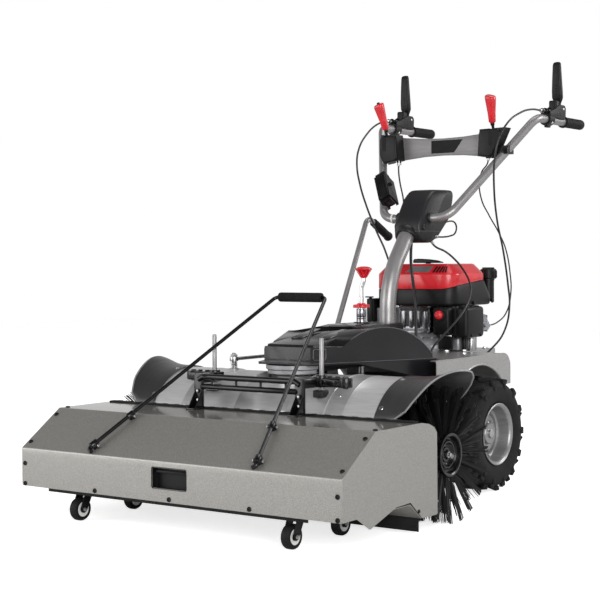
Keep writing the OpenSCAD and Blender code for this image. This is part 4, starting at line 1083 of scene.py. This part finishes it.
def air_filter():
    bm = bmesh.new()
    each(bm, box, (((84, 72, 440), (138, 122, 522), 6, 3), ((92, 112, 450), (142, 200, 510), 4),
                   ((146, 100, 431), (186, 210, 524), 11, 4), ((138, 96.4, 436), (150.4, 100, 519), 1.6),
                   ((138, 101, 433), (155, 104.6, 522), 1.6), ((140, 102, 430), (150, 208, 525), 3)))
    for y in (118, 148, 178):
        box(bm, (150, y, 522), (178, y + 13, 527), 2)
    for y in (130, 186):
        rod(bm, (182, y, 438), (188, y, 438), 5, 1)
    primer = at(108, 72, 500) @ Matrix.Rotation(math.pi / 2, 4, "X")
    lathe(bm, [(14.4, -4), (20, -4), (20, 4), (18.5, 6), (16, 6), (14.4, 4)], primer, 40, True)
    for x in (94, 128):
        nut(bm, (x, 69, 448), (x, 74, 448), 4)
    piece("air_box", bm, "chassis", "black", ["intake"])

    bm = bmesh.new()
    dome = [(13.8 * math.cos(math.radians(a)), 6 + 11 * math.sin(math.radians(a))) for a in range(8, 76, 8)]
    lathe(bm, [(0, -2), (13.8, -2), (13.8, 6)] + dome + [(2.5, 16.2), (0, 15.6)], primer, 36)
    piece("primer_dome", bm, "primer_bulb", "red", ["primer_bulb"])


def crankcase():
    bm = of_node("engine_crankcase", 2.0)
    for x, y in ((-70, 320), (60, 326), (92, 180), (-92, 300)):
        nut(bm, (x, y, 400), (x, y, 412), 9, 0.8)
    for x in (-58, -20, 18, 56):
        nut(bm, (x, 116, 428), (x, 124, 428), 5)
    box(bm, (94, 126, 391), (142, 222, 430), 4)
    rod(bm, (146, 214, 388), (146, 214, 434), 9, 1.5)
    piece("crankcase_casting", bm, "chassis", "alloy", ["engine_crankcase"])
    bm = bmesh.new()
    each(bm, box, (((84, 104, 396), (132, 112, 446), 2), ((84, 112, 404), (94, 160, 440), 2),
                   ((-172, 102, 472), (-143, 198, 546), 4), ((-166, 100, 480), (-149, 104, 538), 1.5),
                   ((-168, 88, 549), (-140, 96, 553), 1.5)))
    rod(bm, (-150, 92, 545), (-150, 92, 552), 5, 1)
    rod(bm, (150, 148, 392), (150, 148, 430), 7, 1)
    piece("engine_brackets", bm, "chassis", "black")
    bm = bmesh.new()
    each(bm, rod, (((150, 190, 390), (150, 190, 432), 11, 1), ((112, 100, 452), (112, 76, 436), 6, 1),
                   ((132, 104, 436), (110, 96, 440), 4.5, 1),
                   ((128, 322, 458), (128, 314, 458), 4, 0.6, 12)))
    for x, y in ((118, 98), (150, 148), (150, 190)):
        nut(bm, (x, y, 388), (x, y, 394), 8, 0.8)
    piece("engine_bolts", bm, "chassis", "zinc")
    bm = bmesh.new()
    governor = ((100, 440), (138, 446), (146, 458), (128, 494), (100, 496))
    slab(bm, [(x, 324, z) for x, z in governor], 5, 3, (0, -2.2, 0), 0.6)
    piece("governor_plate", bm, "chassis", "sheet")


# Belt cover

RIDGE = [(-558, 396), (-540, 440), (-463, 449), (-320, 475), (-250, 482), (-84, 482)]


def arch(y):
    """Height of the round cheek over the belt cover's side."""
    return 306 + math.sqrt(max(176 ** 2 - (y + 340) ** 2, 0))


def low_left(x, y, z):
    """The left cheek stays low and falls towards the nose, so that the roof hides it from the front right."""
    base = 434
    edge = 443 + 27 * (y + 438) / 246
    if x > -76.5 or z < base + 0.5 or arch(y) < edge:
        return z
    return base + (z - base) * (edge - base) / (arch(y) - base)


def belt_cover():
    bm = of_node("belt_cover", 2.2, 3, 0.35, low_left)
    lathe(bm, [(14.8, 480), (24, 480), (24, 485), (22, 487.4), (14.8, 487.4)], at(0, CRANK_Y), 40, True)
    piece("belt_guard", bm, "chassis", "shell", ["belt_cover"], smooth=30)

    bm = bmesh.new()
    for low, high, y0, y1 in ((26, 66, -452, -344), (-66, -26, -452, -344), (-44, 44, -300, -232)):
        z0, z1 = read(RIDGE, y0) - 1, read(RIDGE, y1) - 1
        slab(bm, [(low, y0, z0), (high, y0, z0), (high - 8, y1, z1), (low + 8, y1, z1)], 7, 3, (0, 0, 4.5),
             1.8)
    piece("belt_guard_panels", bm, "chassis", "gloss", smooth=30)

    # A half bowl of alloy hangs under the nose, in front of the pulley.
    bm = bmesh.new()
    lathe(bm, [(40, 357.8), (53, 357.8), (56, 359), (58, 361), (68.6, 361.6), (71, 363.6), (71, 372),
               (73, 374), (76, 376), (76, 386), (73.4, 386), (69, 384), (68.6, 364), (40, 361)],
          at(0, BRUSH_Y), 64, True)
    cut(bm, (0, BRUSH_Y + 6, 0), (0, 1, 0), clear_outer=True)
    bmesh.ops.holes_fill(bm, edges=[e for e in bm.edges if e.is_boundary])
    piece("turret_bowl", bm, "chassis", "turret")

    # Pale beads along the cheek's edge, the flange lines and the window frames are painted highlights where
    # light catches those edges.
    bm = bmesh.new()
    line = [-438 + 246 * k / 30 for k in range(31)]
    pipe(bm, [(75.2 + 162 * (y + 556) / 364, y, arch(y) - 0.3) for y in line], 1.5, 8)
    for side in SIDES:
        pipe(bm, [(side * 90, -565, 391.6), (side * 250, -194, 391.6)], 1.1, 8)
        pipe(bm, [(side * 76.2, -540, 433), (side * 117, -464, 433.4)], 1.3, 8)
    pipe(bm, [(-90, -565, 391.6), (90, -565, 391.6)], 1.1, 8)
    for x0, x1 in ((-62, -4), (8, 66)):
        panel = [(x0, -556.6, 400), (x1, -556.6, 400), (x1, -545, 429), (x0, -545, 429)]
        bead(bm, rounded(panel, 5, 4, True), 1.3)
    for side in SIDES:
        near, far = (side * 80.8, -549.4), (side * 96.8, -513.4)
        bead(bm, rounded([(*near, 400), (*far, 400), (*far, 429), (*near, 429)], 5, 4, True), 1.3)
    piece("belt_guard_beads", bm, "chassis", "bead")


# Deck, crank, lever and column

def round_fender(x, y, z):
    """The deck's rear side corners are rolled to a radius, where the solid has two straight folds."""
    roll, roll_y = 45, 140
    if abs(x) < 149 or not 96 < y < 184 or z < 297:
        return z
    fold = DECK_Z - 31 * (y - 95) / 72 if y < 167 else 357 - 62 * (y - 167) / 18
    if z > fold + 1 or y < 164 and z < fold - 6:
        return z
    rolled = DECK_Z if y < roll_y else DECK_Z - roll + math.sqrt(max(roll ** 2 - (y - roll_y) ** 2, 0))
    return z + rolled - fold


def deck():
    bm = of_node("deck_plate", 1.0, reshape=round_fender, cuts=range(98, 183, 6))
    wheel_arch = 198.5
    for side in SIDES:
        angles = [math.radians(a) for a in range(-47, 48, 3)]
        lip = [(side * 283.5, wheel_arch * math.sin(a), WHEEL_Z + wheel_arch * math.cos(a)) for a in angles]
        pipe(bm, lip, 3.6, 12)
        edge = [(side * 284, -248, 386.5), (side * 284, 184, 386.5), (side * 284, 184, 297)]
        pipe(bm, rounded(edge, 44, 10), 2.4, 10)
    piece("deck_sheet", bm, "chassis", "deck", ["deck_plate"], smooth=30)

    bm = bmesh.new()
    lathe(bm, [(14.05, 470), (14.6, 470), (14.6, 496), (14.1, 497), (14.6, 498), (14.6, 501), (14.1, 502),
               (14.6, 503), (14.6, 524), (13.4, 526.4), (9.1, 526.4), (9.1, 520)], at(0, CRANK_Y), 44)
    piece("crank_sleeve", bm, "chassis", "plated")
    bm = bmesh.new()
    foot = 8
    for x, y, up in ((-60, 60, 0), (60, 60, 0), (-36, -74, foot), (36, -74, foot), (-36, -12, foot),
                     (36, -12, foot), (210, 40, 0), (-230, 60, 0), (128, 320, 0), (-128, 320, 0)):
        z = DECK_Z + up
        nut(bm, (x, y, z), (x, y, z + 5), 7, 0.8)
        lathe(bm, [(0, z - 0.4), (10, z - 0.4), (10, z + 1.4), (0, z + 1.4)], at(x, y), 24)
    piece("deck_bolts", bm, "chassis", "zinc")


def crank():
    shank, knob = at(0, CRANK_Y), at(7, CRANK_Y + 2)
    bm = bmesh.new()
    lathe(bm, [(9.2, 528), (17, 528), (19, 529.4), (19, 536.4), (17, 538), (13, 538.6), (11, 542),
               (0, 542)], shank, 40)
    for i in range(8):
        spot = shank @ Matrix.Rotation(math.pi / 4 * i, 4, "Z") @ Vector((18.4, 0, 0))
        lathe(bm, [(0, 528.5), (4.8, 528.5), (6, 529.8), (6, 536.2), (4.8, 537.5), (0, 537.5)],
              Matrix.Translation(spot), 20)
    lathe(bm, [(0, 614), (7.4, 614), (8.4, 615.4), (9.2, 622), (11.6, 630), (17, 635.4), (23, 637.4),
               (24.2, 639.4), (23.2, 642), (18, 645.4), (10, 647.4), (0, 648)], knob, 44)
    rib = [(6, -1.3, 616), (9.6, -1.3, 616), (22, -1.3, 636.6), (22, -1.3, 639), (6, -1.3, 636)]
    for i in range(10):
        put(bm, knob @ Matrix.Rotation(math.pi / 5 * i, 4, "Z"),
            lambda b: plate(b, rib, (0, 2.6, 0), 0.6, 1))
    piece("crank_knobs", bm, "height_crank", "red", ["height_crank"])
    bm = bmesh.new()
    bend = [(0, CRANK_Y, 536), (0, CRANK_Y, 586), (7, CRANK_Y + 2, 605), (7, CRANK_Y + 2, 617)]
    pipe(bm, rounded(bend, 14, 6), 6, 20)
    rod(bm, (0, CRANK_Y, 216), (0, CRANK_Y, 530), 9)
    lathe(bm, [(6, 544), (7, 544.6), (7, 560), (6, 560.6)], shank, 28, True)
    piece("crank_rod", bm, "height_crank", "chrome")


def ribbed(start, pitch, count, low, high):
    """A grip's profile: low and high radius by turns."""
    skin = []
    for k in range(count):
        foot = start + pitch * k
        skin += [(low, foot), (high, foot + 1.4), (high, foot + 5), (low, foot + 6.4)]
    return skin


def lever():
    bm = bmesh.new()
    pipe(bm, rounded([(LEVER_X, -51.6, 424), (LEVER_X, 143.5, 802), (LEVER_X, 262, 742.5)], 26, 8), 8, 24)
    foot = [(-80, 290), (-56, 290), (-56, 400), (-41, 438), (-61, 440), (-80, 404)]
    slab(bm, [(-196, y, z) for y, z in foot], 5, 3, (7, 0, 0), 0.8)
    rod(bm, (-197, LEVER_Y, LEVER_Z), (-189, LEVER_Y, LEVER_Z), 14, 1)
    rod(bm, (-214, LEVER_Y, LINK_Z), (LEVER_X, LEVER_Y, LINK_Z), 5, 0.6)
    piece("angle_bar", bm, "angle_lever", "tube", ["angle_lever"])
    bm = bmesh.new()
    base, tip = Vector((LEVER_X, 178, 784.7)), Vector((LEVER_X, 272, 737.5))
    long = (tip - base).length
    skin = [(8.2, 0), (12, 0), (13.2, 1.5)] + ribbed(12, 8, 9, 12.2, 13.4)
    skin += [(14, 90), (15, 95), (15, long - 5), (13, long - 1), (9, long), (0, long)]
    lathe(bm, skin, Matrix.Translation(base) @ facing(tip - base), 36)
    piece("angle_bar_sleeve", bm, "angle_lever", "grip", ["lever_grip"], smooth=45)
    piece("link_rod_bar", of_node("link_rod", 0.8), "link_rod", "zinc", ["link_rod"])


def column():
    lean = Vector((0, math.sin(math.radians(39)), math.cos(math.radians(39))))
    corner = Vector((0, COLUMN_Y, 605))
    route = rounded([(0, COLUMN_Y, DECK_Z), corner, corner + lean * 206], 250, 24)
    bm = bmesh.new()
    pipe(bm, route, 24, 40)
    box(bm, (-45, -84, DECK_Z), (45, -1, 396), 2)
    lathe(bm, [(24, 396), (31, 396), (28, 399), (24.6, 406)], at(0, COLUMN_Y), 40, True)
    piece("column_tube", bm, "chassis", "tube", ["steering_column"])
    # Black dots along the column's side are painted shade, standing for the dark insides of its perforations.
    bm = bmesh.new()
    turn = math.radians(4)
    for a, b in zip(route, route[1:]):
        count = max(1, int((b - a).length / 9))
        way = (b - a).normalized()
        side = Vector((math.cos(turn), 0, 0)) + way.cross(Vector((1, 0, 0))) * -math.sin(turn)
        for k in range(count):
            p = a + (b - a) * k / count + side * 23.6
            if p.z < 690:
                rod(bm, p, p + side * 0.6, 1.6, sides=10)
    piece("column_holes", bm, "chassis", "black")


# Handlebar and controls

def bar():
    bm = bmesh.new()
    half = [(112, 112, 792), (GRIP_X, 371, GRIP_Z), (GRIP_X, 686, GRIP_Z)]
    pipe(bm, rounded([(-x, y, z) for x, y, z in reversed(half)] + half, 60, 12), 13, 32)
    piece("bent_tube", bm, "chassis", "tube", ["handlebar"])
    bm = bmesh.new()
    lathe(bm, [(13, -2.4), (14.6, -2.4), (14.6, 2.4), (13, 2.4)], at(-78, 112, 792) @ ALONG_X, 32, True)
    box(bm, (-81, 124, 789), (-75, 130, 796), 1)
    box(bm, (-79, 128, 791), (-77, 146, 793), 0.4, 1)
    piece("cable_tie", bm, "chassis", "white")

    bm = bmesh.new()
    skin = [(13.1, 0), (18, 0), (19, 1.2), (19, 5), (17, 6.6)] + ribbed(9, 8, 14, 15.4, 16.4)
    skin += [(16, 124), (16.5, 128), (16, 132), (12, 134), (0, 134)]
    for side in SIDES:
        lathe(bm, skin, at(side * GRIP_X, 556, GRIP_Z) @ ALONG_Y, 36)
    piece("handle_sleeves", bm, "chassis", "grip", ["hand_grips"], smooth=45)

    bm = bmesh.new()
    cheek = [(434, 1108), (434, 1126), (466, 1134), (504, 1151), (538, 1151), (547, 1142), (545, 1110),
             (520, 1105)]
    for x in (-GRIP_X, GRIP_X):
        for near in (-17, 9):
            slab(bm, [(x + near, y, z) for y, z in cheek], 7, 4, (8, 0, 0), 2, 3)
        each(bm, box, (((x - 12, 436, 1106), (x + 12, 502, 1132), 3),
                       ((x - 15, 500, 1104), (x + 15, 542, 1118), 3),
                       ((x - 14, 484, 1118), (x + 14, 507, 1164), 5, 3),
                       ((x - 6, 436, 1076), (x + 6, 460, 1086), 2)))
        lathe(bm, [(13.1, 430), (18, 430), (19.5, 431.5), (19.5, 463), (18, 464.5), (13.1, 464.5)],
              at(x, 0, GRIP_Z) @ ALONG_Y, 36, True)
        rod(bm, (x, 405, 1126), (x, 437, 1126), 7, 1)
        rod(bm, (x, 428, 1126), (x, 433, 1126), 10, 1)
        for k in range(3):
            box(bm, (x - 17.6, 470 + 16 * k, 1116), (x + 17.6, 478 + 16 * k, 1121 + 5 * k), 1)
    piece("lever_clamps", bm, "chassis", "black", ["lever_brackets"])
    ferrules()


def ferrules():
    bm = bmesh.new()
    for side in SIDES:
        lathe(bm, [(3.1, 396), (4.6, 396), (5.4, 398), (5.4, 409), (7.6, 409), (7.6, 415), (5.4, 415),
                   (5.4, 432), (3.1, 432)], at(side * 279.4, 0, 1126) @ ALONG_Y, 20, True)
        x = side * GRIP_X
        nut(bm, (x - 19, CLUTCH_Y, CLUTCH_Z), (x + 19, CLUTCH_Y, CLUTCH_Z), 4.4)
        nut(bm, (x - 19, 448, 1090), (x + 19, 448, 1090), 4)
    for p, q in (((172, 262, 984), (172, 260.5, 968)), ((-150, 262, 986), (-150, 261.4, 964)),
                 ((-62, 184, 825), (-72, 184, 825)), ((62, 128, 735), (71, 128, 735)),
                 ((126, 326, 458), (126, 340, 458)), ((50, 119, 724), (56, 126, 714))):
        rod(bm, p, q, 4.2, 0.8)
        nut(bm, p, Vector(p).lerp(Vector(q), 0.35), 5.6, 0.5)
    for x in (-156, -146.4):
        box(bm, (x, 255, 968), (x + 2.4, 269, 984), 0.5, 1)
    rod(bm, (-158, 262, 973), (-142, 262, 973), 2.6, 0.5)
    piece("cable_ferrules", bm, "chassis", "zinc")


# Rows of height, half width and half depth, and for the shift handle also a corner radius
BLADE = ((4, 8.4, 5), (18, 8.6, 6.5), (27, 13, 7.6), (36, 17, 9), (58, 17, 9.4), (100, 15, 8.4),
         (138, 13.2, 6.8), (145, 12, 5.8), (148.4, 9, 4.2), (149.6, 5, 2.6))
HANDLE = ((-1, 6, 5, 4), (0, 8.4, 7, 5), (3, 10, 8.8, 6.4), (30, 11.4, 9.8, 7), (60, 14.6, 11.6, 8.4),
          (76, 16.4, 12.6, 9.4), (81, 16, 12.2, 9.2), (83.6, 14, 10.6, 8.4), (85, 10.4, 7.4, 6))


def levers():
    for name, side in (("left", -1), ("right", 1)):
        clutch, shift = "clutch_lever_" + name, "shift_lever_" + name
        pivot = at(side * GRIP_X, CLUTCH_Y, CLUTCH_Z)
        bm = bmesh.new()
        loft(bm, [[(x, y, h) for x, y in rounded_ring(w, 4 - 2 * d, 4, min(w, d) * 0.7, 0, 5)]
                  for h, w, d in BLADE])
        for k in range(4):
            box(bm, (-3.4, -15, 46 + 9 * k), (3.4, -13.4, 50 + 9 * k), 0.6, 1)
        bmesh.ops.transform(bm, matrix=pivot @ Matrix.Rotation(math.radians(4), 4, "X"), verts=bm.verts)
        lathe(bm, [(4.06, -8), (8.4, -8), (9, -7.4), (9, 7.4), (8.4, 8), (4.06, 8)], pivot @ ALONG_X, 32,
              True)
        piece("clutch_blade_" + name, bm, clutch, "black", [clutch], smooth=45)

        base, top = Vector((side * 191.5, 251, 1083)), Vector((side * 200, 221, 1162))
        up = (top - base).normalized()
        wide = up.cross(Vector((0, -1, 0))).normalized()
        place = Matrix((wide, wide.cross(up), up)).transposed().to_4x4()
        place.translation = base
        bm = bmesh.new()
        rings = []
        for h, w, d, r in HANDLE:
            slant = 0.16 * h / 85
            ring = rounded_ring(w, -d, d, r, 0, 6)
            rings.append([place @ Vector((x, y, h - slant * x * side)) for x, y in ring])
        loft(bm, rings)
        piece("shift_handle_" + name, bm, shift, "red", [shift], smooth=40)
        bm = bmesh.new()
        rod(bm, (side * 190, 268, 1030), base + up * 4, 4.4)
        rod(bm, base - up * 9, base + up * 1, 6.4, 1)
        piece("shift_stem_" + name, bm, shift, "black")
    bm = bmesh.new()
    tip = Vector((-200, 221, 1162))
    up = Vector((-8.5, -30, 79)).normalized()
    rod(bm, tip - up * 7, tip + up * 5, 4.9, 1.4)
    piece("lever_button", bm, "shift_button", "black", ["shift_button"])


# Rows of height, front, rear and inset
CONSOLE = ((717, 84, 108, 12), (719, 76, 116, 5), (735, 60, 150, 0), (752, 57.5, 171, 0), (770, 55, 193, 0),
           (800, 75.6, 230, 0), (830, 96, 237, 0), (850, 110, 243, 0), (864, 128, 245, 0),
           (873, 140, 245, 1.5), (878, 148, 244, 5), (880, 156, 240, 10))


def console():
    bm = bmesh.new()
    rings = []
    for z, front, rear, inset in CONSOLE:
        knee = min(front + 64, 0.45 * front + 0.55 * rear)
        half = 62 - inset
        outline = [(-41 + inset, front), (47 - inset, front), (half, knee), (half, rear), (-half, rear),
                   (-half, knee)]
        rings.append(rounded([(x, y, z) for x, y in outline], 13, 5, True))
    loft(bm, rings)
    lathe(bm, [(24.4, -14), (31, -14), (33, -10), (33, 6), (30, 9), (24.4, 9)],
          at(0, 69, 747) @ Matrix.Rotation(math.radians(-39), 4, "X"), 44, True)
    lathe(bm, [(0, 46), (9, 46), (9.4, 54.6), (8.4, 56), (6, 56), (5.4, 54.8), (0, 54.8)],
          at(0, 78, 764) @ ALONG_X, 32)
    for side in SIDES:
        lathe(bm, [(13.2, 52), (18, 52), (18.6, 57.4), (17.4, 59.4), (13.2, 59.4)],
              at(0, 112, 792) @ flip(side) @ ALONG_X, 36, True)
    piece("console_shell", bm, "chassis", "pod", ["console_cover"], smooth=50)
    # A pale bead round the pod is a painted highlight along its seam.
    bm = bmesh.new()
    bead(bm, rings[3], 0.9, 6)
    piece("console_seam", bm, "chassis", "bead")


def dash():
    bm = bmesh.new()
    low = [(-206, 974), (-140, 986), (-70, 993), (0, 995), (70, 993), (140, 986), (206, 974)]
    high = [(206, 1064), (140, 1053), (70, 1047), (0, 1045), (-70, 1047), (-140, 1053), (-206, 1064)]
    slab(bm, [(x, 288, z) for x, z in low + high], 7, 4, (0, 3, 0), 0.7)
    for edge in (low, high):
        pipe(bm, rounded([(x, 290, z) for x, z in edge], 60, 4), 2.0, 8)
    piece("dash_sheet", bm, "chassis", "dash", ["dash_panel"])
    bm = bmesh.new()
    plate(bm, [(-45, 288, 1001), (37, 288, 1001), (68, 288, 1041), (-45, 288, 1041)], (0, -0.5, 0), 0.15, 1)
    piece("dash_plate", bm, "chassis", "rubber")

    # The box on the left tube leans, and the left console is trimmed on its outside.
    bm = of_node("control_boxes", 2.4, 3)
    middle, shift, trim_x = Vector((-178, 215, 915)), Vector((10, 7, -6)), -204
    lean = (Matrix.Translation(middle + shift) @ Matrix.Rotation(math.radians(11), 4, (0.58, -0.81, 0))
            @ Matrix.Translation(-middle))
    for v in bm.verts:
        if v.co.z < 960:
            v.co = lean @ v.co
        elif v.co.x < trim_x:
            v.co.x = trim_x + 0.12 * (v.co.x - trim_x)
    for x, outline in ((-150, [(-150, 1062), (-143, 982), (-196, 974), (-209, 1000), (-209, 1058)]),
                       (172, [(150, 1062), (146, 984), (190, 978), (232, 1062)])):
        slab(bm, [(p, 247, z) for p, z in outline], 14, 5, (0, -8, 0), 4.2, 3)
        rod(bm, (x, 262, 984), (x, 262, 975), 8, 1)
    piece("control_housings", bm, "chassis", "black", ["control_boxes"], smooth=32)
    # Dark plates on the housings' fronts are painted shade, standing for the dark insides of the lever slots.
    bm = bmesh.new()
    for side in SIDES:
        slot = ((184, 1012), (197, 1012), (197, 1056), (184, 1056))
        slab(bm, [(side * x, 239, z) for x, z in slot], 5, 3, (0, -0.5, 0), 0.2, 1)
    piece("lever_slots", bm, "chassis", "rubber")


engine_top()
muffler()
air_filter()
crankcase()
belt_cover()
deck()
crank()
lever()
column()
bar()
levers()
console()
dash()
# These solids keep their shape and get softened edges.
for name, finish, body, slot, soft in (
        ("front_arm", "iron", "chassis", "arm_paint", 1.6),
        ("transmission_case", "iron", "chassis", "dark_casting", 2.0),
        ("gearbox", "grey_iron", "head", "cast_grey", 1.6),
        ("support_fork", "gloss", "support_fork", "frame_black", 0.8),
        ("support_wheel", "rubber", "support_wheel", "wheel_rubber", 5.0)):
    piece(name + "_form", of_node(name, soft, 3), body, finish, [name])


# Stage: a pale floor and soft studio light

LIGHTS = (("key_light", (2.9, -3.0, 1.4), 2.6, 120), ("fill_light", (-2.6, -3.4, 1.2), 2.8, 60),
          ("top_light", (0.2, 0.9, 3.6), 2.0, 30), ("rim_light", (2.6, 2.6, 2.2), 1.6, 50))


def lay_floor():
    bm = bmesh.new()
    bmesh.ops.create_grid(bm, x_segments=1, y_segments=1, size=9)
    mesh = bpy.data.meshes.new("floor")
    bm.to_mesh(mesh)
    bm.free()
    floor = bpy.data.objects.new("floor", mesh)
    floor.location.z = -0.0005
    bpy.context.scene.collection.objects.link(floor)
    paint, tree, _ = start("studio_floor")
    seen = add(tree, "ShaderNodeLightPath").outputs
    matt = add(tree, "ShaderNodeBsdfDiffuse", {"Color": (0.86, 0.86, 0.86, 1)})
    lift = add(tree, "ShaderNodeMath", {0: seen["Is Camera Ray"], 1: 0.72}, operation="MULTIPLY").outputs[0]
    glow = add(tree, "ShaderNodeEmission", {"Color": (1, 1, 1, 1), "Strength": lift})
    close(tree, add(tree, "ShaderNodeAddShader", {0: matt.outputs[0], 1: glow.outputs[0]}))
    mesh.materials.append(paint)


def light_room():
    world = bpy.data.worlds.new("studio")
    bpy.context.scene.world = world
    world.use_nodes = True
    sky = world.node_tree
    sky.nodes.clear()
    seen = add(sky, "ShaderNodeLightPath").outputs
    white = add(sky, "ShaderNodeMath", {0: seen["Is Camera Ray"], 1: seen["Is Transmission Ray"]},
                operation="MAXIMUM").outputs[0]
    # The room is bright near the horizon and dim overhead, as a low ring of soft boxes makes it.
    way = add(sky, "ShaderNodeTexCoord").outputs["Generated"]
    height = add(sky, "ShaderNodeSeparateXYZ", {"Vector": way}).outputs["Z"]
    room = add(sky, "ShaderNodeMapRange", {"Value": height, "From Min": 0.0, "From Max": 0.85,
                                           "To Min": 0.92, "To Max": 0.12}).outputs["Result"]
    level = add(sky, "ShaderNodeMix", {0: white, 2: room, 3: 1.0}).outputs[0]
    glow = add(sky, "ShaderNodeBackground", {"Color": (1, 1, 1, 1), "Strength": level})
    add(sky, "ShaderNodeOutputWorld", {"Surface": glow.outputs[0]})
    for name, spot, size, power in LIGHTS:
        lamp = bpy.data.lights.new(name, "AREA")
        lamp.shape = "DISK"
        lamp.size = size
        lamp.energy = power
        made = bpy.data.objects.new(name, lamp)
        made.location = spot
        made.rotation_mode = "QUATERNION"
        made.rotation_quaternion = (Vector((0, 0, 0.45)) - Vector(spot)).to_track_quat("-Z", "Y")
        bpy.context.scene.collection.objects.link(made)
    bpy.context.scene.view_settings.view_transform = "Standard"


lay_floor()
light_room()
